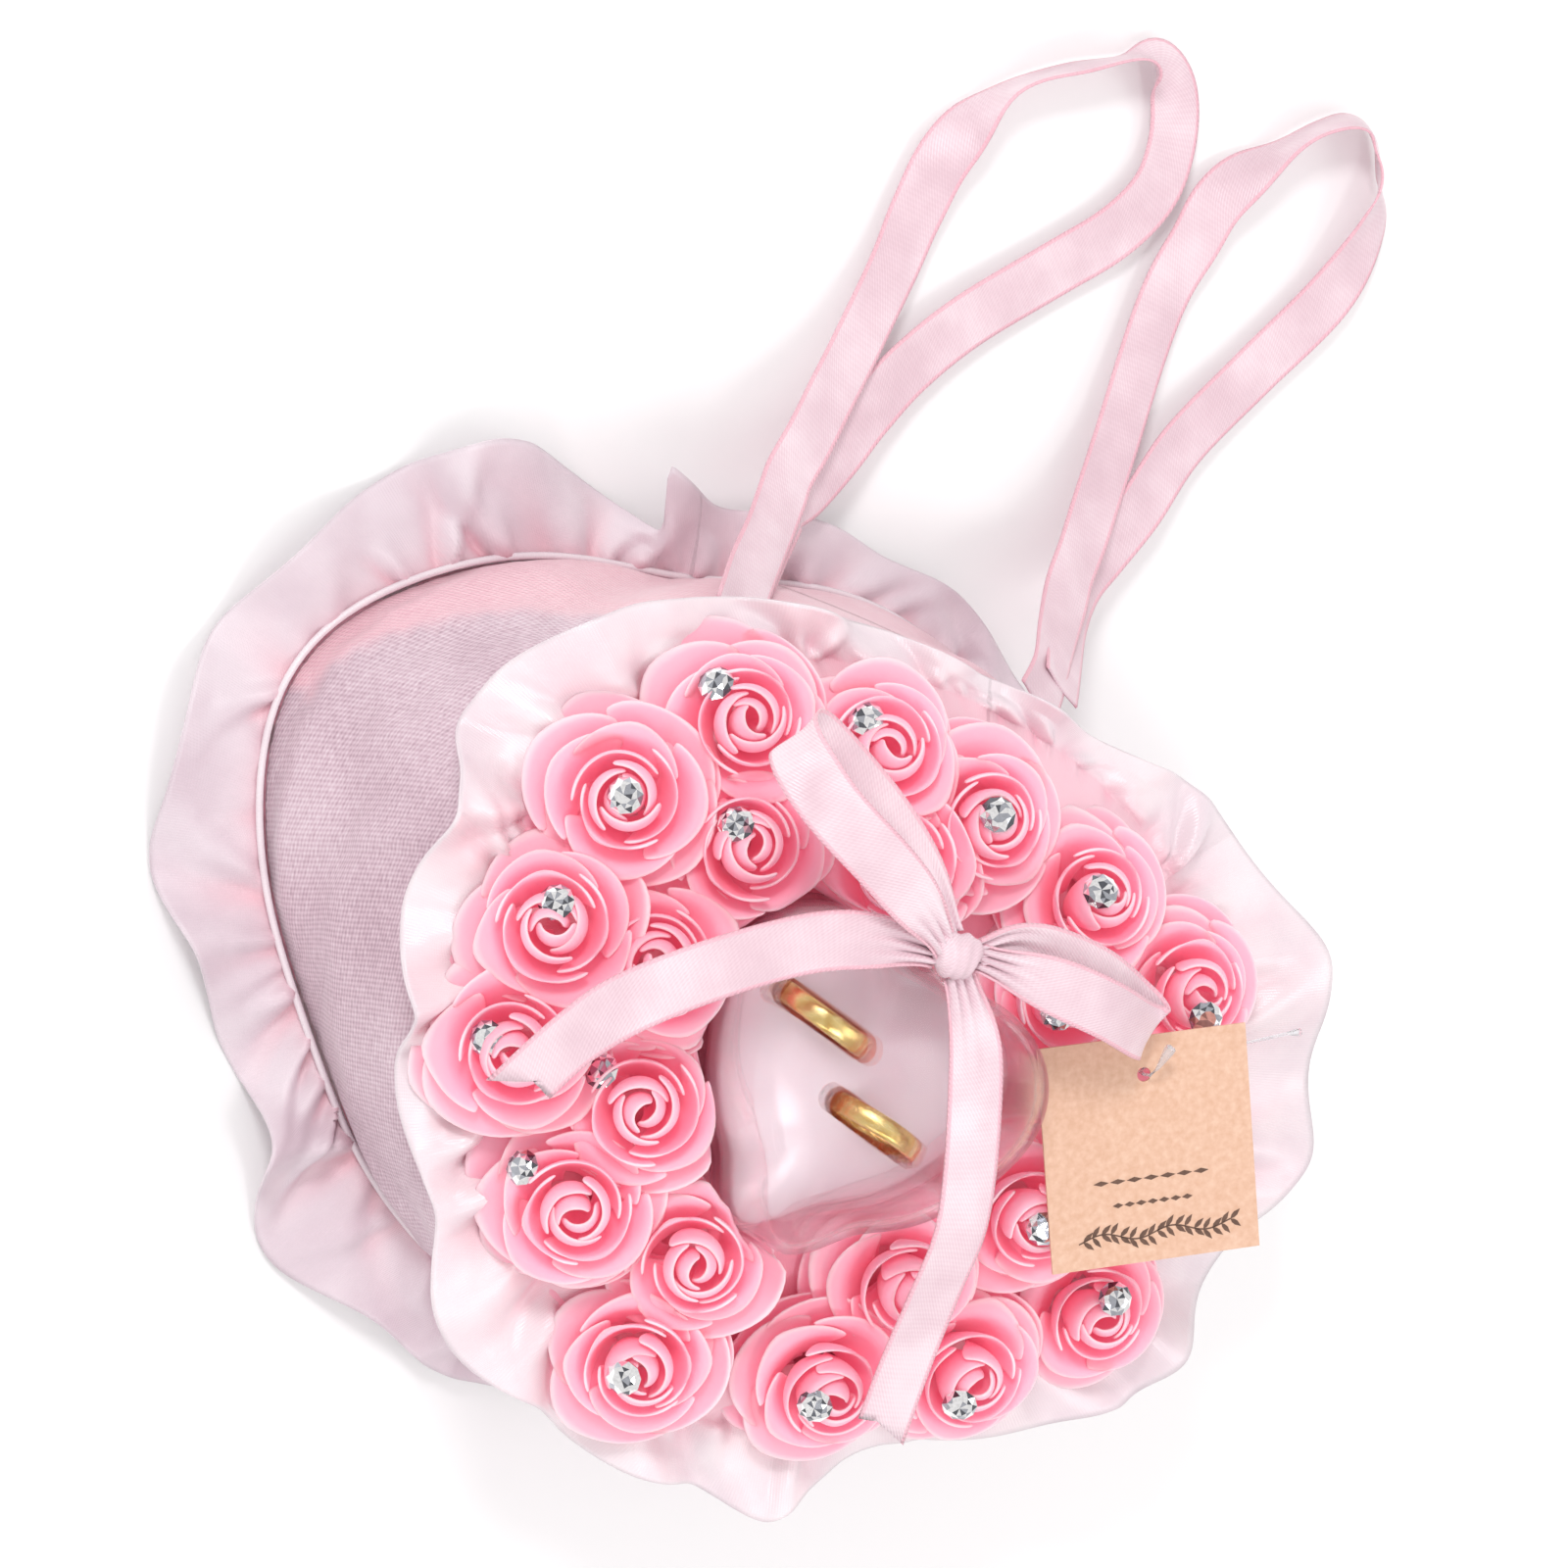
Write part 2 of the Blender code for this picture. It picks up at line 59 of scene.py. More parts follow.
def outline(x, y, heading, size, dip, lobe, tip, *strays):
    """A heart outline as in the CAD: centre, heading of the cleft (degrees clockwise from +Y), mean radius.

    dip, lobe and tip are shares of the radius: how far the cleft dips, the lobes swell and the tip reaches.
    strays are where the soft cloth leaves that: degrees from the cleft, spread in degrees, and metres.
    """
    return {"x": x, "y": y, "heading": heading, "size": size, "dip": dip, "lobe": lobe, "tip": tip,
            "strays": strays}


BACK = outline(0.008, 0.006, 10, 0.080, 0.16, 0.10, 0.12, (62, 16, 0.004), (115, 28, -0.006))
FRONT = outline(0.028, -0.013, 27, 0.076, 0.05, 0.10, 0.08)
BACK_HEM = outline(0.008, 0.006, 10, 0.100, 0.18, 0.11, 0.10, (25, 16, 0.009), (118, 16, -0.009),
                   (142, 12, 0.006), (310, 24, -0.008))
FRONT_HEM = outline(0.028, -0.013, 27, 0.093, 0.06, 0.15, 0.06, (22, 30, -0.007), (148, 12, 0.007),
                    (218, 12, -0.006), (265, 42, 0.017), (340, 26, -0.007))
BOX = outline(0.0207, -0.0135, 38.5, 0.0303, 0.20, 0.19, 0.02, (180, 14.5, 0.009))
BACK_SEAM_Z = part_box("back_panel")[1].z
FRONT_SEAM_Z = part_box("front_cover")[1].z - 0.0106  # the cover bulges this far above its seam
DOME = 0.0108
FULLNESS = 1.15  # how much more cloth a ruffle has than the gap between its seam and its hem


def mix(a, b, share):
    return a + (b - a) * share


def heart(line, turn, grow=0.0, scale=1.0):
    """A point of a heart outline at an angle, counted anticlockwise from the cleft."""
    turn %= math.tau
    off_cleft = min(turn, math.tau - turn)
    off_tip = math.pi - off_cleft
    shape = 1 - line["dip"] * math.exp(-((off_cleft / 0.5) ** 2))
    shape += line["lobe"] * math.exp(-(((off_cleft - 1.15) / 0.55) ** 2))
    shape += line["tip"] * math.exp(-((off_tip / 0.45) ** 2))
    radius = line["size"] * shape
    for place, spread, change in line["strays"]:
        gap = (math.degrees(turn) - place + 180) % 360 - 180
        radius += change * math.exp(-((gap / spread) ** 2))
    radius = radius * scale + grow
    angle = math.radians(90 - line["heading"]) + turn
    return line["x"] + radius * math.cos(angle), line["y"] + radius * math.sin(angle)


def front_z(share):
    """Height of the domed front cover, at a share of the way from its middle to its seam."""
    return FRONT_SEAM_Z + DOME * (1 - min(share, 1) ** 4)


# ---------------------------------------------------------------- camera, lights and floor
LEAN = math.radians(30)  # between the view and straight down
LEAN_WAY = Vector((-0.871, 0.491))  # across the floor, from the pillow to the camera
SLOPE = 0.577  # tangent of LEAN: how far a point seen at one place shifts for each metre that it drops
SEEN = Vector((0.029, -0.0185, 0.068))  # what the camera looks at
DISTANCE = 0.95
LENS = 106.9  # mm, on a sensor of 36 mm
SHIFT = (-0.045, 0.181)  # the pillow sits low and to the right of the middle of the picture


def in_scene(name, data):
    made = bpy.data.objects.new(name, data)
    bpy.context.scene.collection.objects.link(made)
    return made


def look_at(obj, target, up=Vector((0, 1, 0))):
    back = (obj.location - target).normalized()
    top = (up - up.dot(back) * back).normalized()
    side = top.cross(back)
    obj.rotation_euler = Matrix((side, top, back)).transposed().to_euler()


def make_camera():
    camera = in_scene("camera", bpy.data.cameras.new("camera"))
    camera.data.lens = LENS
    camera.data.sensor_width = 36
    back = Vector((*(LEAN_WAY * math.sin(LEAN)), math.cos(LEAN)))
    camera.location = SEEN + back * DISTANCE
    look_at(camera, SEEN)
    camera.data.shift_x, camera.data.shift_y = SHIFT
    bpy.context.scene.camera = camera


def area_light(name, place, target, size, watts):
    light = bpy.data.lights.new(name, "AREA")
    light.energy = watts
    light.shape = "DISK"
    light.size = size
    lamp = in_scene(name, light)
    lamp.location = place
    look_at(lamp, Vector(target), Vector((0.1, 1, 0)))


def make_studio():
    world = bpy.data.worlds.new("studio")
    world.use_nodes = True
    background = world.node_tree.nodes["Background"]
    background.inputs["Color"].default_value = (1, 0.985, 0.985, 1)
    background.inputs["Strength"].default_value = 0.78
    bpy.context.scene.world = world
    middle = (0.03, 0.0, 0.05)
    area_light("key", (-0.45, 0.85, 1.0), middle, 0.3, 6.0)
    area_light("fill", (0.9, -0.4, 1.1), middle, 0.8, 2.6)
    area_light("low", (-0.75, -0.6, 0.95), middle, 0.35, 1.4)
    area_light("front", (0.02, -0.50, 1.15), middle, 0.26, 1.9)
    bm = bmesh.new()
    bmesh.ops.create_grid(bm, x_segments=1, y_segments=1, size=3)
    mesh = bpy.data.meshes.new("floor")
    bm.to_mesh(mesh)
    bm.free()
    floor = in_scene("floor", mesh)
    floor.location.z = -0.0004
    paint = bpy.data.materials.new("pale_floor")
    paint.use_nodes = True
    shader = paint.node_tree.nodes["Principled BSDF"]
    shader.inputs["Base Color"].default_value = (0.97, 0.97, 0.97, 1)
    shader.inputs["Roughness"].default_value = 0.9
    mesh.materials.append(paint)
    bpy.context.scene.view_settings.view_transform = "Standard"


# ---------------------------------------------------------------- materials
def linear(code):
    """A colour given as six hex digits, in linear light."""
    parts = [int(code[i:i + 2], 16) / 255 for i in (0, 2, 4)]
    return tuple(p / 12.92 if p <= 0.04045 else ((p + 0.055) / 1.055) ** 2.4 for p in parts)


class Paint:
    """A material under construction: a few short calls around Blender's nodes."""

    def __init__(self, name, **sockets):
        self.material = bpy.data.materials.new(name)
        self.material.use_nodes = True
        self.tree = self.material.node_tree
        self.shader = self.tree.nodes["Principled BSDF"]
        for socket, value in sockets.items():
            socket = socket.replace("_", " ")
            if socket.endswith("Color"):
                value = (*value, 1)
            self.shader.inputs[socket].default_value = value

    def node(self, kind, **settings):
        made = self.tree.nodes.new(kind)
        for key, value in settings.items():
            setattr(made, key, value)
        return made

    def link(self, out, into):
        self.tree.links.new(out, into)

    def math(self, operation, a, b=None):
        made = self.node("ShaderNodeMath", operation=operation)
        for socket, value in zip(made.inputs, (a, b)):
            if isinstance(value, (int, float)):
                socket.default_value = value
            elif value is not None:
                self.link(value, socket)
        return made.outputs[0]

    def metres(self):
        """The surface coordinates, in metres."""
        return self.node("ShaderNodeUVMap", uv_map="metres").outputs[0]

    def uv(self):
        """Sockets for the two surface coordinates, in metres."""
        split = self.node("ShaderNodeSeparateXYZ")
        self.link(self.metres(), split.inputs[0])
        return split.outputs[0], split.outputs[1]

    def tone(self):
        """The mesh's own measure of painted light and shade: how light a place is painted, or how deep it lies
        in painted shade near its gathers.
        """
        return self.node("ShaderNodeAttribute", attribute_name="tone").outputs["Fac"]

    def noise(self, scale, detail=2.0, vector=None):
        made = self.node("ShaderNodeTexNoise")
        made.inputs["Scale"].default_value = scale
        made.inputs["Detail"].default_value = detail
        self.link(vector or self.node("ShaderNodeTexCoord").outputs["Object"], made.inputs["Vector"])
        return made.outputs["Fac"]

    def ramp(self, factor, *stops):
        """Colours along a factor. Each stop is a place and a colour, in hex digits or in linear light."""
        made = self.node("ShaderNodeValToRGB")
        points = made.color_ramp.elements
        while len(points) < len(stops):
            points.new(0.5)
        for point, (place, colour) in zip(points, stops):
            point.position = place
            point.color = (*(linear(colour) if isinstance(colour, str) else colour), 1)
        self.link(factor, made.inputs[0])
        return made.outputs[0]

    def mixed(self, factor, low, high):
        """One colour turning into another. Each is a socket, or hex digits."""
        made = self.node("ShaderNodeMix", data_type="RGBA")
        self.link(factor, made.inputs["Factor"])
        for name, colour in (("A", low), ("B", high)):
            if isinstance(colour, str):
                made.inputs[name].default_value = (*linear(colour), 1)
            else:
                self.link(colour, made.inputs[name])
        return made.outputs["Result"]

    def into(self, name, socket):
        self.link(socket, self.shader.inputs[name])

    def bump(self, height, distance, strength):
        made = self.node("ShaderNodeBump")
        made.inputs["Distance"].default_value = distance
        made.inputs["Strength"].default_value = strength
        self.link(height, made.inputs["Height"])
        self.into("Normal", made.outputs[0])

    def weave(self, across, along, thread_x, thread_y, twill):
        """Height of a woven face: floats that step sideways from thread to thread, as in satin."""
        u, v = self.uv()
        a = self.math("MULTIPLY", u, math.tau / thread_x)
        b = self.math("MULTIPLY", v, math.tau / thread_y)
        slanted = self.math("ADD", a, self.math("MULTIPLY", b, twill))
        return self.math("ADD", self.math("MULTIPLY", self.math("SINE", slanted), across),
                         self.math("MULTIPLY", self.math("SINE", b), along))


def satin_paint(name, light, dark, roughness, sheen, gather_shade, thread=0.00035):
    """Woven satin. The tone of the mesh says where painted shade shows: the last colour, laid in the troughs
    between the gathers and by the seam.
    """
    p = Paint(name, Roughness=roughness, Sheen_Weight=sheen, Sheen_Roughness=0.35, Specular_IOR_Level=0.9)
    cloud = p.noise(55, 3)
    weave = p.weave(0.5, 0.5, thread, thread * 1.6, 0.5)
    tint = p.math("ADD", p.math("MULTIPLY", weave, 0.05), cloud)
    p.into("Base Color", p.mixed(p.tone(), p.ramp(tint, (0.35, dark), (0.65, light)), gather_shade))
    p.bump(weave, 0.00004, 0.6)
    return p.material


def band_paint():
    """The satin's dull side, streaked like moire. The tone of the mesh says where painted light makes it
    lighter and pinker.
    """
    p = Paint("pink_moire_satin", Roughness=0.4, Sheen_Weight=0.35, Sheen_Roughness=0.3,
              Specular_IOR_Level=0.7)
    weave = p.weave(0.6, 0.6, 0.0009, 0.0011, 0.45)
    stretch = p.node("ShaderNodeMapping")
    stretch.inputs["Scale"].default_value = (1500, 380, 1)
    stretch.inputs["Rotation"].default_value = (0, 0, 0.35)
    p.link(p.metres(), stretch.inputs[0])
    streak = p.noise(1.0, 3, stretch.outputs[0])
    fine = p.math("ADD", p.math("MULTIPLY", weave, 0.12), p.math("MULTIPLY", streak, 0.45))
    tint = p.math("ADD", fine, p.math("MULTIPLY", p.noise(22, 2), 0.55))
    # low: the cloth's own colours; high: the same cloth with painted light, used below the crease.
    low = p.ramp(tint, (0.3, "B294A1"), (0.5, "D0B4C0"), (0.72, "E6D3DB"))
    high = p.ramp(tint, (0.3, "E3ABBA"), (0.5, "F0C3CD"), (0.72, "F7D5DC"))
    p.into("Base Color", p.mixed(p.tone(), low, high))
    p.bump(weave, 0.00008, 0.8)
    return p.material


def ribbon_paint():
    """Satin ribbon with a ribbed, deeper pink selvage along both edges."""
    p = Paint("pink_ribbon_satin", Roughness=0.34, Sheen_Weight=0.3, Sheen_Roughness=0.3,
              Specular_IOR_Level=0.6)
    u, v = p.uv()
    weave = p.weave(0.7, 0.3, 0.0007, 0.0011, 0.9)
    edge = p.math("GREATER_THAN", p.math("ABSOLUTE", u), 0.0052)
    cloud = p.math("ADD", p.math("MULTIPLY", weave, 0.1), p.noise(60, 3))
    base = p.ramp(cloud, (0.3, "DDBEC8"), (0.5, "E8CCD5"), (0.68, "F1DCE3"))
    p.into("Base Color", p.mixed(p.math("MULTIPLY", edge, 0.7), base, "F4B4C3"))
    ribs = p.math("MULTIPLY", edge, p.math("SINE", p.math("MULTIPLY", v, math.tau / 0.0009)))
    p.bump(p.math("ADD", weave, ribs), 0.00006, 0.7)
    return p.material


def foam_paint():
    # The faint pink emission is a painted glow: it stands in for light shining through the foam.
    p = Paint("pink_foam", Roughness=0.6, Sheen_Weight=0.15, Sheen_Roughness=0.5, Subsurface_Weight=0.4,
              Subsurface_Radius=(0.006, 0.003, 0.0035), Subsurface_Scale=1.0,
              Emission_Color=linear("FF7F9C"), Emission_Strength=0.1)
    cloud = p.math("MULTIPLY", p.math("SUBTRACT", p.noise(130, 3), 0.5), 0.14)
    # Low tones get the deep pinks as painted shade in the cups; high tones get the pale pink as a painted
    # highlight on the rims.
    p.into("Base Color", p.ramp(p.math("ADD", p.tone(), cloud), (0.0, "FF8FAA"), (0.4, "FFA6BC"),
                                (0.7, "FFB8CA"), (0.95, "FBDAE3")))
    p.bump(p.noise(2600, 2), 0.00005, 0.5)
    return p.material


def plain_paint(name, scale, detail, stops, bump=None, **sockets):
    """A finish whose colour varies with fine noise. bump is a noise's scale and detail, depth and strength."""
    p = Paint(name, **sockets)
    p.into("Base Color", p.ramp(p.noise(scale, detail), *stops))
    if bump:
        p.bump(p.noise(*bump[:2]), *bump[2:])
    return p.material


def make_paints():
    paints = {
        # The last colour of the two ruffle satins is painted shade, for the troughs between the gathers and
        # the cloth by the seam.
        "front_satin": satin_paint("white_pink_satin", "F3E7EB", "E8D8DF", 0.25, 0.15, "F4BFCD"),
        # The cover is painted deep pink as painted shade: it shows mostly in the gaps between the roses, and
        # its pink stands in for the shade there.
        "cover": satin_paint("cover_satin_painted_gap_shade", "F9A9BE", "F297AE", 0.4, 0.2, "F9A9BE"),
        "back_satin": satin_paint("grey_pink_satin", "E8DAE1", "DCCAD3", 0.4, 0.3, "EFB4C0"),
        "band": band_paint(),
        "ribbon": ribbon_paint(),
        "foam": foam_paint(),
        "pearl": plain_paint("pearl_plastic", 40, 2, ((0.3, "E0C9D2"), (0.7, "E9D6DE")),
                             (900, 2, 0.00002, 0.3), Roughness=0.26, Coat_Weight=0.6, Coat_Roughness=0.12,
                             Subsurface_Weight=0.2, Subsurface_Radius=(0.003, 0.002, 0.002),
                             Subsurface_Scale=1.0),
        "lining": plain_paint("coral_lining", 700, 2, ((0.3, "F08C7C"), (0.7, "F6A393")), Roughness=0.6,
                              Sheen_Weight=0.2),
        "card": plain_paint("kraft_card", 700, 5, ((0.3, "D9AE93"), (0.55, "E1B9A0"), (0.8, "E9C6AF")),
                            (1800, 4, 0.00004, 0.5), Roughness=0.85),
        "ink": plain_paint("brown_ink", 900, 2, ((0.3, "5E4438"), (0.7, "6E5244")), Roughness=0.7),
        "nylon": plain_paint("nylon", 500, 2, ((0.3, (0.85, 0.85, 0.88)), (0.7, (0.95, 0.95, 0.97))),
                             Roughness=0.2, IOR=1.5, Transmission_Weight=0.7),
        "cup": plain_paint("silver_cup", 600, 2, ((0.3, (0.55, 0.55, 0.57)), (0.7, (0.75, 0.75, 0.78))),
                           Metallic=1.0, Roughness=0.25),
    }
    # Rhinestone facets in three greys: a painted glint and painted grey and dark reflections, standing in for
    # the light a cut stone sends back.
    for name, shade, metal, rough in (("gem_painted_glint", "FFFFFF", 0.9, 0.04), ("gem_painted_grey_reflection", "B9BCC4", 0.95, 0.05),
                                      ("gem_painted_dark_reflection", "5E6068", 1.0, 0.08)):
        stops = ((0.3, shade), (0.8, tuple(0.8 * c for c in linear(shade))))
        paints[name] = plain_paint(name, 1500, 1, stops, Metallic=metal, Roughness=rough, Coat_Weight=1.0,
                                   Coat_Roughness=0.02)

    p = Paint("clear_plastic", Base_Color=(1.0, 0.985, 0.99), IOR=1.18, Transmission_Weight=1.0, Alpha=0.5)
    p.into("Roughness", p.ramp(p.noise(90, 4), (0.45, (0.01,) * 3), (0.8, (0.06,) * 3)))
    paints["clear"] = p.material

    p = Paint("gold", Metallic=1.0)
    brushed = p.noise(420, 4)
    p.into("Base Color", p.ramp(brushed, (0.3, "D2AC62"), (0.7, "F3DFA0")))
    p.into("Roughness", p.ramp(brushed, (0.2, (0.16,) * 3), (0.8, (0.34,) * 3)))
    p.bump(brushed, 0.00002, 0.3)
    paints["gold"] = p.material
    return paints


# ---------------------------------------------------------------- mesh helpers
def new_piece(name, points, faces, paint, body, uvs=None, tones=None, smooth=True):
    mesh = bpy.data.meshes.new(name)
    mesh.from_pydata([tuple(p) for p in points], [], faces)
    if uvs is not None:
        layer = mesh.uv_layers.new(name="metres")
        corners = np.empty(len(mesh.loops), np.int32)
        mesh.loops.foreach_get("vertex_index", corners)
        layer.data.foreach_set("uv", np.asarray(uvs, np.float32)[corners].ravel())
    if tones is not None:
        attribute = mesh.attributes.new("tone", "FLOAT", "POINT")
        attribute.data.foreach_set("value", np.asarray(tones, np.float32))
    mesh.materials.append(paint)
    if smooth:
        mesh.shade_smooth()
    piece = in_scene(name, mesh)
    if body:
        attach(piece, body)
    return piece


def grid_faces(rows, columns, wrap_rows=False, wrap_columns=False, start=0):
    """Faces between rows of points, which may close on themselves either way."""
    faces = []
    for i in range(rows if wrap_rows else rows - 1):
        for j in range(columns if wrap_columns else columns - 1):
            i2 = (i + 1) % rows
            j2 = (j + 1) % columns
            faces.append(tuple(start + k for k in
                               (i * columns + j, i2 * columns + j, i2 * columns + j2, i * columns + j2)))
    return faces


def thicken(piece, thickness):
    solid = piece.modifiers.new("Thickness", "SOLIDIFY")
    solid.thickness = thickness
    solid.offset = 0
    solid.use_even_offset = False


def smoothed(piece):
    subdivide = piece.modifiers.new("Smooth", "SUBSURF")
    subdivide.levels = 1
    subdivide.render_levels = 1


def sheet_round(name, rows, paint, thickness, tones):
    """A thin sheet through rows of points that run round the pillow. Its UVs are in metres."""
    points = np.array(rows, float)
    count = points.shape[1]
    u = np.zeros(points.shape[:2])
    v = np.zeros(points.shape[:2])
    u[1:] = np.cumsum(np.linalg.norm(np.diff(points, axis=0), axis=2), axis=0)
    v[:, 1:] = np.cumsum(np.linalg.norm(np.diff(points, axis=1), axis=2), axis=1)
    v = np.broadcast_to(v.mean(0), v.shape)
    uvs = np.stack([u, v], 2).reshape(-1, 2)
    faces = grid_faces(len(rows), count, wrap_columns=True)
    piece = new_piece(name, points.reshape(-1, 3), faces, paint, "pillow", uvs, tones)
    thicken(piece, thickness)
    return piece


# ---------------------------------------------------------------- pillow
def inflate(piece, pins, most):
    """Presses the stuffing out against the cloth by simulation, and keeps the result in the mesh."""
    rest = np.empty(len(piece.data.vertices) * 3)
    piece.data.vertices.foreach_get("co", rest)
    group = piece.vertex_groups.new(name="sewn")
    group.add([i for i, pin in enumerate(pins) if pin], 1.0, "REPLACE")
    cloth = piece.modifiers.new("Cloth", "CLOTH")
    settings = cloth.settings
    settings.quality = 5
    settings.mass = 0.15
    settings.tension_stiffness = 12
    settings.compression_stiffness = 8
    settings.shear_stiffness = 4
    settings.bending_stiffness = 0.15
    settings.use_pressure = True
    settings.uniform_pressure_force = 4
    settings.shrink_min = -0.035
    settings.vertex_group_mass = "sewn"
    settings.effector_weights.gravity = 0
    scene = bpy.context.scene
    for step in range(1, 21):
        scene.frame_set(step)
    graph = bpy.context.evaluated_depsgraph_get()
    blown = piece.evaluated_get(graph).to_mesh()
    moved = np.empty(len(blown.vertices) * 3)
    blown.vertices.foreach_get("co", moved)
    piece.evaluated_get(graph).to_mesh_clear()
    piece.modifiers.remove(cloth)
    scene.frame_set(1)
    step = (moved - rest).reshape(-1, 3)
    length = np.linalg.norm(step, axis=1, keepdims=True)
    step *= np.minimum(1, most / np.maximum(length, 1e-9))
    piece.data.vertices.foreach_set("co", (rest.reshape(-1, 3) + step).ravel())
    piece.data.update()


def make_pillow(paints):
    """The stuffed cover: flat back, side band and domed front, sewn at two seams."""
    count = 200
    steps = 20
    turns = [math.tau * i / count for i in range(count)]
    rows = []
    pins = []

    def add_row(low, high, level, z, grow, scale, pinned):
        for i, turn in enumerate(turns):
            out = grow * (1 if i % 2 else 0.4) if pinned == 2 else grow
            near = Vector(heart(low, turn, out, scale))
            rows.append((*near.lerp(Vector(heart(high, turn, out, scale)), level), z))
            pins.append(pinned > 0)

    for share in (0.04, 0.25, 0.5, 0.7, 0.82, 0.88):
        add_row(BACK, BACK, 0, 0.0008, 0, share, 1)
    for share, z in ((0.93, 0.0016), (0.965, 0.0032), (0.985, 0.0048)):
        add_row(BACK, BACK, 0, z, 0.0012, share, 0)
    add_row(BACK, BACK, 0, BACK_SEAM_Z, 0.0008, 1, 2)
    first = len(rows) // count - 1
    for k in range(1, steps):
        level = k / steps
        swell = 0.0022 * math.sin(math.pi * level) ** 0.7
        add_row(BACK, FRONT, level, mix(BACK_SEAM_Z, FRONT_SEAM_Z, level), swell, 1, 0)
    add_row(FRONT, FRONT, 1, FRONT_SEAM_Z, 0.0006, 1, 2)
    for share in (0.96, 0.91, 0.85, 0.78, 0.7, 0.61, 0.51, 0.4, 0.28, 0.16, 0.05):
        add_row(FRONT, FRONT, 1, front_z(share) - 0.0015, 0, share, share < 0.45)
    number = len(rows) // count
    faces = grid_faces(number, count, wrap_columns=True)
    faces.append(tuple(range(count))[::-1])
    faces.append(tuple(range(len(rows) - count, len(rows))))
    faces = [f[::-1] for f in faces]
    uvs = [(2.6 * MM * (i // count), 2.6 * MM * (i % count)) for i in range(len(rows))]
    pillow = new_piece("satin_pillow", rows, faces, paints["cover"], "pillow", uvs)
    inflate(pillow, pins, 0.005)
    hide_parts("stuffing", "front_cover", "back_panel")

    shape = np.array([v.co for v in pillow.data.vertices]).reshape(number, count, 3)
    shape = shape[first:first + steps + 1]
    middle = np.array([[mix(BACK[axis], FRONT[axis], k / steps) for axis in "xy"] for k in range(steps + 1)])
    away = shape[:, :, :2] - middle[:, None, :]
    away /= np.linalg.norm(away, axis=2, keepdims=True)
    angle = np.degrees(np.arctan2(away[:, :, 1], away[:, :, 0])) % 360
    level = np.arange(steps + 1)[:, None] / steps
    push = np.full(angle.shape, 0.0013)
    for low, high, start, end, deep, wide in CREASES:
        share = np.clip((angle - start) / (end - start), 0, 1)
        inside = ((angle >= start) & (angle <= end)) * np.sin(math.pi * share) ** 0.5
        off = (level - (low + (high - low) * share)) / wide
        push += deep * inside * (np.exp(-off**2) - 0.55 * np.exp(-((off - 1.7) ** 2)))
    push *= np.clip(np.minimum(level, 1 - level) * 12, 0.25, 1)
    shape[:, :, :2] += away * push[:, :, None]
    low, high, start, end = PAINTED_LIGHT_PART
    line = np.interp(angle, (start - 60, start, end), (0.8, low, high))
    # Tones: painted light below the crease, faded in from 15 to 50 degrees.
    tones = np.clip((line - level) / 0.03 + 0.5, 0, 1) * np.clip((angle - 15) / 35, 0, 1) * (angle < end + 2)
    band = sheet_round("side_band_satin", shape, paints["band"], 0.0003, tones.ravel())
    smoothed(band)
    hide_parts("side_band")
    path = [(*heart(BACK, turn, 0.0026), BACK_SEAM_Z + 0.0014) for turn in turns]
    make_piping(path, 0.0008, paints["front_satin"])


# Creases of the side band: its height at both ends, where it starts and ends in degrees from +X,
# how far it stands out in metres and how wide it is, as a share of the band's height.
CREASES = (
    (0.58, 0.12, 110, 142, 0.0016, 0.05),
    (0.75, 0.02, 152, 166, 0.0014, 0.05),
    (0.10, 0.45, 200, 235, 0.0010, 0.06),
    (0.75, 0.50, 160, 215, 0.0008, 0.05),
    (0.35, 0.70, 0, 60, 0.0010, 0.07),
    (0.60, 0.30, 270, 330, 0.0010, 0.07),
)
# Below one crease the cloth is painted lighter, as painted light on the same cloth turned another way to the
# lamps: that crease's height at both ends, and the ends.
PAINTED_LIGHT_PART = (0.58, 0.10, 110, 143)


def make_piping(path, radius, paint):
    """The rolled edge along the back seam: a closed round tube."""
    count = len(path)
    sides = 8
    points = []
    for i, point in enumerate(path):
        here = Vector(point)
        along = (Vector(path[(i + 1) % count]) - Vector(path[i - 1])).normalized()
        side = along.cross(Vector((0, 0, 1)))
        for k in range(sides):
            a = math.tau * k / sides
            points.append(here + radius * (side * math.cos(a) + Vector((0, 0, 1)) * math.sin(a)))
    uvs = [(i % sides * radius, i // sides * 0.0025) for i in range(len(points))]
    new_piece("back_piping", points, grid_faces(count, sides, True, True), paint, "pillow", uvs)


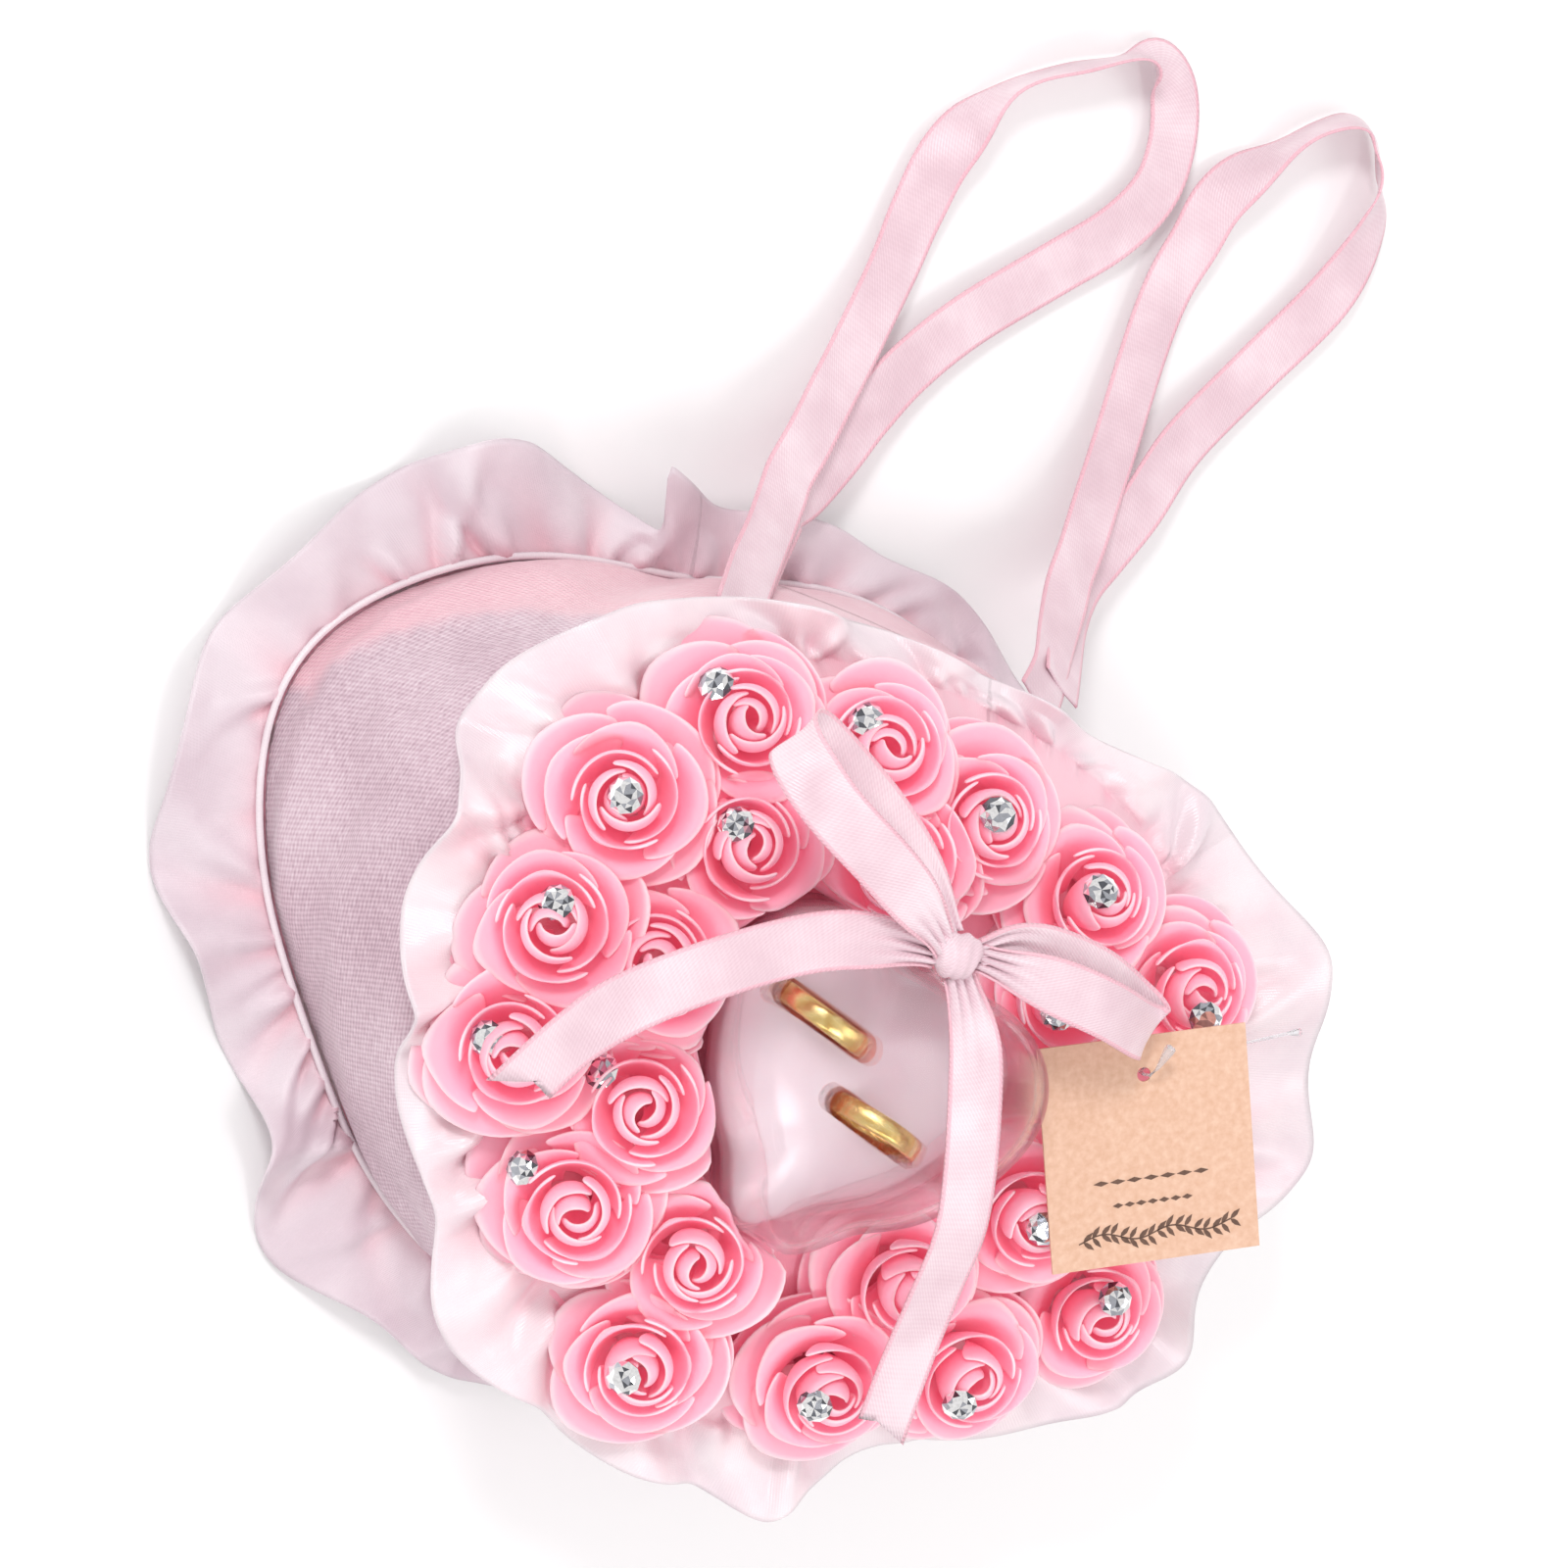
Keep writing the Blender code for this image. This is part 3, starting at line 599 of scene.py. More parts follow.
def ruffle_rows(seam, hem, seam_z, hem_z, folds, wave, seed, corners, inner, tuck=()):
    """Rows from the sewn edge to the hem. Sharp gathers leave the seam, widen and run out into soft waves.

    Each corner turns a bit of the hem out or in: where it is and how wide it is before and after that, in
    degrees, how much longer the cloth is there, and how far it rises and slants sideways, in metres.
    tuck lists where the cloth runs on inside the seam, as shares of the seam's radius.
    """
    count = 560
    steps = 18
    rng = random.Random(seed)
    turn = np.arange(count) * (math.tau / count)
    near = np.array([heart(seam, t, inner) for t in turn])
    far = np.array([heart(hem, t) for t in turn])
    out = far - near
    side = np.stack([-out[:, 1], out[:, 0]], 1)
    side /= np.linalg.norm(side, axis=1, keepdims=True)
    reach = np.ones(count)
    swing = np.zeros(count)
    for _ in range(5):
        k = max(3, round(folds * rng.uniform(0.5, 1.5)))
        phase = rng.uniform(0, 6.28)
        swing += rng.uniform(0.4, 1.4) * np.sin(k * turn + phase) / 2.6
        reach += 0.022 * np.sin((k + 1) * turn + 2 * phase)
    pleats = []
    number = int(folds * 5.2)
    for k in range(number):
        place = math.tau * (k + rng.uniform(0.05, 0.95)) / number
        high = rng.uniform(0.4, 1.8)
        long = rng.uniform(0.5, 2.2)
        wide = math.radians(rng.uniform(0.9, 2.8))
        pleats.append((place, high, long, wide, math.radians(rng.uniform(-9, 9))))
    rows = []
    tones = []
    for scale in tuck:
        inside = np.array([heart(seam, t, 0, scale) for t in turn])
        rows.append(np.column_stack([inside, np.full(count, front_z(scale) + 0.0028)]))
        # Cloth tucked inside the seam, under the roses, is painted in shade.
        tones.append(np.full(count, 0.8))
    for step in range(steps + 1):
        share = step / steps
        gathers = np.zeros(count)
        z = mix(seam_z, hem_z, share) + wave * 1.5 * share**1.3 * swing
        for place, high, long, wide, drift in pleats:
            gap = (turn - place - drift * share + math.pi) % (math.tau) - math.pi
            spread = wide * (0.7 + 1.3 * share)
            fade = max(0.0, 1 - share / long)
            ridge = np.exp(-((gap / spread) ** 2)) - 0.5 * np.exp(-(((gap - 1.9 * spread) / spread) ** 2))
            gathers += 0.0026 * high * ridge * fade**0.8 * min(1, 0.35 + share * 5)
        z += gathers
        length = reach.copy()
        sideways = 0.0018 * share * np.cos(folds * turn + 2)
        for place, before, after, longer, higher, slant in corners:
            gap = (turn - math.radians(place) + math.pi) % (math.tau) - math.pi
            hump = np.exp(-np.abs(gap / np.radians(np.where(gap < 0, before, after))) ** 1.5)
            length += longer * hump * share
            z += higher * hump * share
            sideways += slant * hump * share**2
        flat = near + out * (share * length)[:, None] + side * sideways[:, None]
        rows.append(np.column_stack([flat, z]))
        # Tone: painted shade, strongest by the seam and in the troughs between the gathers.
        trough = np.clip(-gathers / 0.0012, 0, 1)
        tones.append(np.clip(0.75 * math.exp(-share / 0.14) + 0.5 * (1 - share) * trough, 0, 1))
    return rows, np.concatenate(tones)


def ruffle_area(seam, hem):
    """The area of the cloth that fills the gap between two outlines."""
    total = 0.0
    for i in range(200):
        a = math.tau * i / 200
        b = math.tau * (i + 1) / 200
        p, q, r, s = (Vector(heart(o, t)) for o, t in ((seam, a), (hem, a), (hem, b), (seam, b)))
        total += abs((r - p).cross(s - q)) / 2
    return total * FULLNESS


FRONT_CORNERS = ((198, 5, 5, 0.28, -0.004, 0), (243, 6, 6, 0.12, 0.003, 0))
BACK_CORNERS = (
    (127, 4, 4, 0.35, 0.004, 0), (5.5, 14, 1, 0.55, 0.0075, 0.0055), (6.5, 0.6, 8, -0.54, 0, 0),
    (22, 6, 6, 0.1, 0.003, 0),
)


def make_ruffles(paints):
    rows, tones = ruffle_rows(FRONT, FRONT_HEM, FRONT_SEAM_Z + 0.0002, FRONT_SEAM_Z - 0.001, 13, 0.0036, 5,
                              FRONT_CORNERS, 0.001, (0.84, 0.9, 0.96))
    front = sheet_round("front_ruffle_satin", rows, paints["front_satin"], 0.0006, tones)
    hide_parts("front_ruffle")
    area = ruffle_area(FRONT, FRONT_HEM) + 0.0053  # with what is tucked inside the seam

    rows, tones = ruffle_rows(BACK, BACK_HEM, BACK_SEAM_Z, 0.0055, 11, 0.0032, 9, BACK_CORNERS, 0.002)
    for row in rows:
        row[:, 2] = np.maximum(row[:, 2], 0.0008)
    back = sheet_round("back_ruffle_satin", rows, paints["back_satin"], 0.0005, tones)
    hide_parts("back_ruffle")
    area = ruffle_area(BACK, BACK_HEM)


# ---------------------------------------------------------------- roses
PETAL_ROWS = 9
PETAL_COLUMNS = 11


def petal_points(rng, centre, half, foot, top, height, base, bulge, flare, cup, spiral):
    """One petal of a foam rose, in the rose's own frame.

    It stands at radius foot, swells by bulge and leans out to top, and its lip turns over by flare.
    """
    points, tones = [], []
    wobble = rng.uniform(-0.5, 0.5)
    droop = rng.uniform(0.8, 1.2)
    point = rng.uniform(0.02, 0.2)
    for j in range(PETAL_ROWS):
        for i in range(PETAL_COLUMNS):
            u = 2 * i / (PETAL_COLUMNS - 1) - 1
            up = j / (PETAL_ROWS - 1)
            v = up * (1 - 0.24 * abs(u) ** 2.3)
            width = 0.42 + 0.58 * math.sin(math.pi / 2 * min(1, v * 1.5))
            radius = foot + (top - foot) * v + bulge * math.sin(math.pi * min(1, v)) ** 0.8
            v += point * math.exp(-((u / 0.22) ** 2)) * v**3
            z = base + height * math.sin(math.pi / 2 * min(1, v**0.9))
            tip = max(0.0, (v - 0.62) / 0.38)
            radius += flare * droop * tip**2
            z -= 0.75 * flare * droop * tip**2.4
            radius -= cup * u * u * (0.4 + 0.6 * v)
            radius += spiral * u
            edge = max(0.0, abs(u) - 0.6) / 0.4
            radius += 0.35 * flare * edge**2 * v
            z += 0.0006 * wobble * math.sin(2.4 * u + wobble * 3) * v
            angle = centre + half * width * u
            points.append((radius * math.cos(angle), radius * math.sin(angle), z))
            # Tone: painted shade toward the petal's foot, lighter up the petal, with a painted highlight along
            # its rim.
            rim = max(0.0, (up - 0.86) / 0.14, 0.8 * (abs(u) - 0.86) / 0.14)
            tones.append(0.14 + 0.5 * v + 0.36 * min(rim, 1))
    return points, tones


LAYERS = (
    # petals, half-width (deg), foot, top, height, base, bulge, flare, cup, spiral (mm), tone (painted light: a
    # lower tone lays painted shade on the whole layer)
    (2, 100, 1.8, 1.4, 13.8, 3.4, 2.2, 0.0, 0.0, 0.9, 0.92),
    (3, 80, 3.4, 4.4, 13.4, 3.0, 2.5, 0.2, 0.3, 1.0, 0.96),
    (3, 76, 4.8, 8.8, 12.0, 2.2, 2.6, 0.8, 0.5, 1.2, 1.0),
    (4, 60, 5.2, 13.8, 9.0, 1.2, 1.9, 1.6, 0.7, 1.2, 1.0),
    (4, 58, 5.2, 17.8, 5.6, 0.4, 1.0, 2.4, 0.7, 1.2, 1.0),
    (5, 46, 5.0, 20.5, 1.6, 0.0, 0.3, 1.6, 0.3, 0.6, 0.9),
)


def make_rose(name, seed, place, lean, room, paint):
    """A rose of thin foam petals in layers, each layer lower and wider than the one before."""
    rng = random.Random(seed)
    points, tones, faces = [], [], []
    for petals, half, foot, top, height, base, bulge, flare, cup, spiral, layer_painted_light in LAYERS:
        start = rng.uniform(0, 6.28)
        for k in range(petals):
            centre = start + math.tau * k / petals + rng.uniform(-0.2, 0.2)
            open_by = rng.uniform(0.9, 1.1)
            new, painted_shading = petal_points(rng, centre, math.radians(half) * rng.uniform(0.93, 1.07), foot * MM,
                                       top * MM * open_by, height * MM * rng.uniform(0.95, 1.04), base * MM,
                                       bulge * MM, flare * MM * rng.uniform(0.7, 1.3), cup * MM, spiral * MM)
            faces += grid_faces(PETAL_ROWS, PETAL_COLUMNS, start=len(points))
            points += new
            tones += [t * layer_painted_light for t in painted_shading]
    turn = Vector(UP).rotation_difference(lean).to_matrix()
    # Petals stop, and stand up, where the neighbouring heads begin.
    placed = []
    for x, y, z in points:
        p = turn @ Vector((x, y, z - 0.011))
        flat = Vector((p.x, p.y))
        reach = flat.length
        limit, lift = room(flat) if reach > 1e-6 else (1.0, 0.0)
        if reach > limit:
            over = reach - limit
            kept = limit + 0.25 * over
            flat *= kept / reach
            p = Vector((flat.x, flat.y, p.z + lift * over))
        placed.append(place + p)
    piece = new_piece(name, placed, faces, paint, "pillow", tones=tones)
    thicken(piece, 0.0007)
    smoothed(piece)
    return piece


def make_gem(name, place, facing, paints):
    """A pointed-back rhinestone: a table, rows of facets down to the girdle, and a silvered cone below."""
    radius = 0.0037
    rng = random.Random(name)
    levels = ((0.50, 0.44), (0.74, 0.33), (1.0, 0.08), (1.0, 0.0), (0.0, -0.85))
    count = 10
    points = [Vector((0, 0, levels[0][1]))]
    for number, (r, z) in enumerate(levels[:-1]):
        shift = 0.5 if number == 1 else 0.0
        for k in range(count):
            a = math.tau * (k + shift) / count
            points.append(Vector((r * math.cos(a), r * math.sin(a), z)))
    points.append(Vector((0, 0, levels[-1][1])))
    # Each facet takes one of the painted reflections at random, most often the bright glint; the girdle is
    # painted bright, and the cone below is the silvered cup.
    faces, painted_shading = [], []
    for k in range(count):
        k2 = (k + 1) % count
        a, b, c, d, e, f, g, h = (1 + row * count + i for row in range(4) for i in (k, k2))
        for face in ((0, a, b), (a, c, b), (b, c, d), (c, e, f), (c, f, d)):
            faces.append(face)
            painted_shading.append(rng.choice((0, 0, 0, 1, 1, 2)))
        faces.append((e, g, h, f))
        painted_shading.append(0)
        faces.append((g, len(points) - 1, h))
        painted_shading.append(3)
    turn = Vector(UP).rotation_difference(facing).to_matrix()
    placed = [place + turn @ (p * radius) for p in points]
    piece = new_piece(name, placed, faces, paints["gem_painted_glint"], "pillow", smooth=False)
    for other in ("gem_painted_grey_reflection", "gem_painted_dark_reflection", "cup"):
        piece.data.materials.append(paints[other])
    piece.data.polygons.foreach_set("material_index", painted_shading)
    return piece


def cell_room(here, others):
    """How far petals may reach in a direction, by the neighbouring heads and the ring box.

    The second number says how they rise beyond that, for each metre that they would reach further.
    """
    walls = [Vector(heart(BOX, math.tau * i / 90, 0.0012)) - here for i in range(90)]

    def room(flat):
        limit, lift = 0.0185, 0.45
        way = flat.normalized()
        for other in others:
            gap = other - here
            toward = way.dot(gap.normalized())
            if toward > 0.15:
                limit = min(limit, gap.length * 0.64 / toward)
        for wall in walls:
            near = wall.length - 0.0006
            if wall.length < 0.03 and way.dot(wall.normalized()) > 0.985 and near < limit:
                limit, lift = near, -1.2 * max(0.0, -way.dot(LEAN_WAY))
        return limit, lift
    return room


# How far the rhinestone of each rose sits from its middle, in mm
STONES = {
    1: (-8, 9), 2: (-6, 8), 3: (-3, 2), 4: (-5, 6), 5: (-2, 3), 6: (-3, 3), 7: (-2, 6), 9: (-8, 4),
    10: (-10, 9), 11: (-12, 10), 13: (-6, 0), 14: (-6, -1), 15: (-5, -4), 16: (1, 5), 17: (-1, -1),
    18: (-1, -4), 19: (-4, -2),
}
LOW_ROSE = 19  # it lies under the tag
DEPTH, LOW_DEPTH = 0.0045, 0.0075  # of a rose's middle below its CAD head
STONE_RISE, LOW_STONE_RISE = 0.0068, 0.0055  # of a stone above its rose's middle


def make_roses(paints):
    heads = {}
    for number in range(1, 23):
        low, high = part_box(f"rose_{number:02d}")
        heads[number] = Vector(((low.x + high.x) / 2, (low.y + high.y) / 2, high.z))
    centre = Vector((FRONT["x"], FRONT["y"]))
    for number, head in heads.items():
        rng = random.Random(700 + number)
        stray = Vector((rng.uniform(-0.1, 0.1), rng.uniform(-0.1, 0.1)))
        way = (head.xy - centre) * (0.22 / 0.075) + LEAN_WAY * 0.24 + stray
        lean = Vector((*way, 1)).normalized()
        room = cell_room(head.xy, [h.xy for n, h in heads.items() if n != number])
        place = head - Vector((0, 0, LOW_DEPTH if number == LOW_ROSE else DEPTH))
        rose = make_rose(f"foam_rose_{number:02d}", 100 + number, place, lean, room, paints["foam"])
        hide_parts(f"rose_{number:02d}")
        if number in STONES:
            aside = Vector((*STONES[number], 0)) * MM
            aside.z = -0.5 * max(0.0, aside.length - 0.004)
            drop = max(0.0, way.dot(aside.xy)) + 0.12 * max(0.0, aside.length - 0.006)
            spot = place + aside - Vector((*(LEAN_WAY * SLOPE * drop), drop))
            spot.z += LOW_STONE_RISE if number == LOW_ROSE else STONE_RISE
            facing = (lean + aside * 45 + Vector((*LEAN_WAY, 0)) * 0.15).normalized()
            gem = make_gem(f"rhinestone_{number:02d}", spot, facing, paints)
            if f"gem_{number:02d}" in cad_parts:
                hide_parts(f"gem_{number:02d}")


# ---------------------------------------------------------------- ribbons
def smooth_route(points, parts):
    """Points on the smooth curve through the given ones."""
    given = [Vector(p) for p in points]
    route = []
    for i in range(len(given) - 1):
        before = given[max(i - 1, 0)]
        start, end = given[i], given[i + 1]
        after = given[min(i + 2, len(given) - 1)]
        for k in range(parts):
            t = k / parts
            pull_in = (end - before) / 2
            pull_out = (after - start) / 2
            bend = 3 * (end - start) - 2 * pull_in - pull_out
            turn = 2 * (start - end) + pull_in + pull_out
            route.append(start + pull_in * t + bend * t**2 + turn * t**3)
    return route + [given[-1]]


def ribbon(name, stops, body, paint, nodes, cut=0.0, pinch=(0, 0), blend=None):
    """A ribbon along stops, each (x, y, z, which way its face looks), in mm, in place of its CAD nodes.

    cut slants its far end, and pinch says how tightly each end is gathered, from 0 to 1.
    """
    width = 0.012
    columns = 17
    route = smooth_route([Vector(s[:3]) * MM for s in stops], 8)
    looks = smooth_route([Vector(s[3]).normalized() for s in stops], 8)
    lengths = [0.0]
    for a, b in zip(route, route[1:]):
        lengths.append(lengths[-1] + (b - a).length)
    points, uvs = [], []
    for i, point in enumerate(route):
        along = (route[min(i + 1, len(route) - 1)] - route[max(i - 1, 0)]).normalized()
        across = along.cross(looks[i]).normalized()
        out = across.cross(along).normalized()
        drawn = pinch[0] * math.exp(-((lengths[i] / 0.011) ** 2))
        drawn += pinch[1] * math.exp(-(((lengths[-1] - lengths[i]) / 0.011) ** 2))
        for j in range(columns):
            share = 2 * j / (columns - 1) - 1
            u = share * width / 2 * (1 - 0.55 * drawn)
            fold = drawn * 0.0013 * math.cos(3.5 * math.pi * share) - 0.0006 * drawn
            slide = cut * u if i == len(route) - 1 else 0.0
            curl = 0.0005 * math.sin(lengths[i] * 90 + 2 * share) * share
            points.append(point + across * u + along * slide + out * (fold + curl))
            uvs.append((share * width / 2, lengths[i] + slide))
    faces = grid_faces(len(route), columns)
    piece = new_piece(name, points, faces, paint, None if blend else body, uvs)
    thicken(piece, 0.0005)
    if blend:
        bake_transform(piece)
    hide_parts(*nodes)


# The bow's ribbons: piece, CAD node, slant of the far end, how both ends are gathered, and the route
BOW = (
    ("bow_upper_loop", "bow_loop_upper", 0.0, (1, 1), (
        (29, 14, 108.5, (0.3, -0.3, 1)), (24, 21, 111.5, (0.2, -0.2, 1)), (13, 33, 115, UP),
        (1, 46, 115, (-0.3, 0.3, 1)), (-4, 55, 111.5, (-0.8, 0.7, 0.5)), (-3, 59, 107, (-1, 1, -0.2)),
        (4, 56, 104, (-0.4, 0.4, -1)), (16, 42, 104.6, DOWN), (26, 26, 106, DOWN), (30, 17, 107, DOWN))),
    ("bow_right_loop", "bow_loop_right", 0.0, (1, 1), (
        (36, 12, 108.5, UP), (50, 6, 112.5, UP), (64, -1, 111, (0.1, 0, 1)), (76, -8, 104, (0.7, -0.3, 0.7)),
        (80, -9, 100, (1, -0.5, 0)), (76, -4, 99, (0.4, -0.2, -1)), (64, 5, 104, DOWN), (46, 13, 106, DOWN),
        (36, 13, 107, DOWN))),
    ("bow_left_tail", "bow_tail_left", 0.9, (1, 0), (
        (27, 13.5, 107.6, UP), (14, 17.5, 108.4, UP), (1, 18, 106, UP), (-18, 14, 102, (-0.1, 0.1, 1)),
        (-34, 8, 97, (-0.2, 0.2, 1)), (-44, 1.5, 93.5, UP), (-53, -6.5, 91.5, UP))),
    ("bow_down_tail", "bow_tail_down", -0.6, (0.8, 0), (
        (32, 9, 107.6, UP), (35, -3, 108, UP), (36, -14, 107.4, UP), (35.5, -30, 106.8, UP),
        (34, -44, 105, (0, -0.2, 1)), (31, -58, 99.5, (0, -0.4, 1)), (28, -72, 94.5, (0, -0.2, 1)),
        (24, -88, 91, UP))),
)


def make_bow(paints):
    for name, node, cut, pinch, stops in BOW:
        ribbon(name, stops, "lid", paints["ribbon"], [node], cut, pinch)
    make_knot(paints)


def make_knot(paints):
    """The middle of the bow: a short gathered wrap of ribbon, creased round its girth."""
    low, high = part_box("bow_knot")
    middle = (low + high) / 2
    turn = Matrix.Rotation(math.radians(-20), 3, "Z")
    points, uvs = [], []
    rows, columns = 30, 36
    for j in range(rows + 1):
        s = 2 * j / rows - 1
        for i in range(columns):
            a = math.tau * i / columns
            waist = 0.0046 * max(0.0, 1 - abs(s) ** 3.2) ** 0.5
            crease = 1 + 0.05 * math.sin(11 * s + 0.8 * math.sin(2 * a)) + 0.04 * math.sin(5 * s + a)
            spot = Vector((0.0052 * s * (1 + 0.16 * math.cos(a + 0.6)), waist * crease * math.cos(a),
                           0.66 * waist * crease * math.sin(a)))
            points.append(middle + turn @ spot)
            uvs.append((0.005 * s, a * 0.005))
    faces = grid_faces(rows + 1, columns, wrap_columns=True)
    knot = new_piece("bow_middle", points, faces, paints["ribbon"], "lid", uvs)
    bm = bmesh.new()
    bm.from_mesh(knot.data)
    bmesh.ops.remove_doubles(bm, verts=bm.verts, dist=0.00001)
    bm.to_mesh(knot.data)
    bm.free()
    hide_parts("bow_knot")


def make_handles(paints):
    """Each handle is one ribbon, folded into a loop, with both ends sewn under the front ruffle."""
    edge = (-0.32, 0.85, 0.05)  # the loops stand on edge where they turn
    left = (
        (12, 73, 49, (0.5, 0.6, 0.5)), (15, 75.5, 45, (0.5, 0.6, 0.6)), (21, 80.5, 38, (0.3, 0.5, 0.8)),
        (28, 86.5, 31, (0.2, 0.3, 0.9)), (34.3, 93, 24.5, (0.1, 0.2, 1)), (38, 97.5, 21, UP),
        (44, 103.5, 17, UP), (51.5, 111.5, 11.5, UP), (60, 122, 7.5, UP), (70, 137, 5, UP),
        (76, 149, 4.5, (-0.1, 0.1, 1)),
        (83, 161, 5, (-0.3, 0.3, 0.9)), (96, 173, 6.5, edge), (113, 178, 7, edge), (127, 180, 7, edge),
        (134.5, 178, 6, (0.1, 0.4, 1)), (138.5, 171, 4, UP), (138.5, 161, 3, UP), (134, 151, 3.5, UP),
        (124, 142.5, 4, UP), (109, 135, 4, UP), (88, 125, 4, UP), (74, 116, 4.5, UP), (63, 107, 7, UP),
        (54, 99, 10.5, UP), (44, 92.5, 16, UP), (36, 90.5, 22.5, (0.1, 0.2, 1)),
        (28.5, 84.5, 29, (0.2, 0.3, 0.9)), (20, 78, 38, (0.3, 0.5, 0.8)),
    )
    right = (
        (81, 50, 49, (0.8, 0.6, 0.2)), (87, 54, 43, (0.8, 0.6, 0.4)), (94, 60, 34, (0.5, 0.5, 0.8)),
        (102, 67, 24, (0.2, 0.4, 1)), (106.5, 72, 19, UP), (112, 78.5, 14, UP), (118, 88, 9.5, UP),
        (124, 99, 6.5, UP), (136, 127, 4.5, UP), (144, 140, 4.5, (-0.1, 0.1, 1)),
        (151, 150, 5, (-0.3, 0.3, 0.9)), (166, 160, 6.5, edge), (176, 164.5, 7, edge),
        (184, 165, 7, (0.3, 0.9, 0.3)), (189, 160, 6.5, (0.9, 0.3, 0.6)), (190.5, 152, 6, (0.9, 0, 0.5)),
        (189, 142, 5.5, (0.5, -0.3, 1)), (179, 127, 4.5, UP), (160, 111, 4.5, UP), (141, 96, 5.5, UP),
        (129, 83, 8, UP), (120, 74, 9, UP), (112, 68.5, 13, (0.1, 0.2, 1)), (104.5, 63, 21, (0.3, 0.4, 0.8)),
        (97, 57, 32, (0.5, 0.5, 0.6)), (90, 51.5, 43, (0.8, 0.6, 0.3)),
    )
    bends = (((0.0300, 0.0887, 0.0245), (0.0386, 0.0973, 0.0245)),
             ((0.1015, 0.0674, 0.0195), (0.1111, 0.077, 0.0195)))
    for side, stops, bend in zip(("left", "right"), (left, right), bends):
        body = f"handle_{side}"
        ribbon(f"{side}_handle_ribbon", stops, body, paints["ribbon"], [f"{body}_base", f"{body}_loop"],
               blend=("pillow", body, *bend))


# ---------------------------------------------------------------- ring box, tag
def solid_heart(name, rings, paint, body):
    """A closed solid through heart-shaped rings, each (z, grow, scale)."""
    count = 120
    turns = [math.tau * i / count for i in range(count)]
    points = [(*heart(BOX, turn, grow, scale), z) for z, grow, scale in rings for turn in turns]
    faces = grid_faces(len(rings), count, wrap_columns=True)
    faces = [f[::-1] for f in faces]
    faces.append(tuple(range(count))[::-1])
    faces.append(tuple(range(len(points) - count, len(points))))
    piece = new_piece(name, points, faces, paint, body)
    piece.data.set_sharp_from_angle(angle=math.radians(50))
    return piece


def make_ring_box(paints):
    low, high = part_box("box_lid")
    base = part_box("ring_box_base")
    floor, top = base[0].z, base[1].z
    rings = [(floor, -0.0010, 1), (floor + 0.0006, 0.0002, 1), (top - 0.0010, 0.0008, 1), (top, 0.0004, 1),
             (top, -0.0004, 1)]
    piece = solid_heart("clear_box_base", rings, paints["clear"], "pillow")
    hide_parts("ring_box_base")

    edge = low.z
    wall = 0.0012
    rings = [
        (high.z - wall, -0.004, 0.30), (high.z - wall - 0.0002, -wall - 0.004, 1),
        (high.z - wall - 0.0016, -wall - 0.0012, 1), (high.z - wall - 0.0045, -wall, 1), (edge, -wall, 1),
        (edge, 0.0008, 1), (edge + 0.0010, 0.0008, 1), (edge + 0.0014, 0.0, 1), (high.z - 0.005, 0.0, 1),
        (high.z - 0.0022, -0.0008, 1), (high.z - 0.0006, -0.0030, 1), (high.z, -0.0060, 1),
        (high.z, -0.004, 0.30),
    ]
    piece = solid_heart("clear_lid", rings, paints["clear"], "lid")
    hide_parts("box_lid")

    pad_low, pad_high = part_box("ring_insert")
    rim = pad_low.z + 0.0050
    crown = pad_high.z + 0.0004 - rim
    rings = [(pad_low.z, -0.0019, 1), (rim - 0.001, -0.0019, 1)]
    for k in range(20):
        share = math.cos(math.pi / 2 * k / 20)
        rings.append((rim + crown * (1 - share**2.6) ** 0.75, -0.0019 * share, max(share, 0.02)))
    insert = solid_heart("pearl_insert", rings, paints["pearl"], "pillow")
    for point in insert.data.vertices:
        if point.co.z > rim:
            away = point.co.xy - Vector((BOX["x"], BOX["y"]))
            off = math.atan2(away.x, away.y) - math.radians(BOX["heading"])
            off = (off + math.pi) % (math.tau) - math.pi
            share = min(away.length / BOX["size"], 1)
            fade = math.sin(math.pi * min(share / 0.8, 1) / 2) ** 2
            point.co.z = max(rim, point.co.z - 0.0034 * math.exp(-((off / 0.30) ** 2)) * fade)
    insert.data.materials.append(paints["lining"])
    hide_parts("ring_insert")

    heading = Matrix.Rotation(math.radians(-BOX["heading"]), 3, "Z")
    for number, tilt in ((1, 5), (2, -4)):
        low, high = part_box(f"ring_{number}")
        middle = (low + high) / 2
        make_slot_cut(insert, number, middle, heading)
        make_band(number, middle, heading @ Matrix.Rotation(math.radians(tilt), 3, "X"), paints)


def make_slot_cut(insert, number, middle, heading):
    """Cuts the rounded slot that a wedding band stands in, narrower at its floor."""
    wide = 0.0031
    count = 24
    levels = ((-0.0098, 0.0072), (0.0022, 0.0145), (0.02, 0.0145))  # height, half the slot's length
    points = []
    for z, half in levels:
        for k in range(count):
            a = math.tau * k / count
            x = math.copysign(half - wide, math.cos(a)) + wide * math.cos(a)
            points.append(middle + heading @ Vector((x, wide * math.sin(a), z)))
    faces = [(r + i, r + (i + 1) % count, r + count + (i + 1) % count, r + count + i)
             for r in (0, count) for i in range(count)]
    faces += [tuple(range(count))[::-1], tuple(range(2 * count, 3 * count))]
    mesh = bpy.data.meshes.new("slot")
    mesh.from_pydata([tuple(p) for p in points], [], faces)
    mesh.materials.append(insert.data.materials[0])
    mesh.materials.append(insert.data.materials[1])
    mesh.polygons.foreach_set("material_index", [1] * len(faces))
    cutter = in_scene(f"slot_{number}", mesh)
    cut = insert.modifiers.new("Slot", "BOOLEAN")
    cut.operation = "DIFFERENCE"
    cut.solver = "EXACT"
    cut.object = cutter
    graph = bpy.context.evaluated_depsgraph_get()
    done = bpy.data.meshes.new_from_object(insert.evaluated_get(graph))
    insert.modifiers.clear()
    insert.data = done
    bpy.data.objects.remove(cutter)


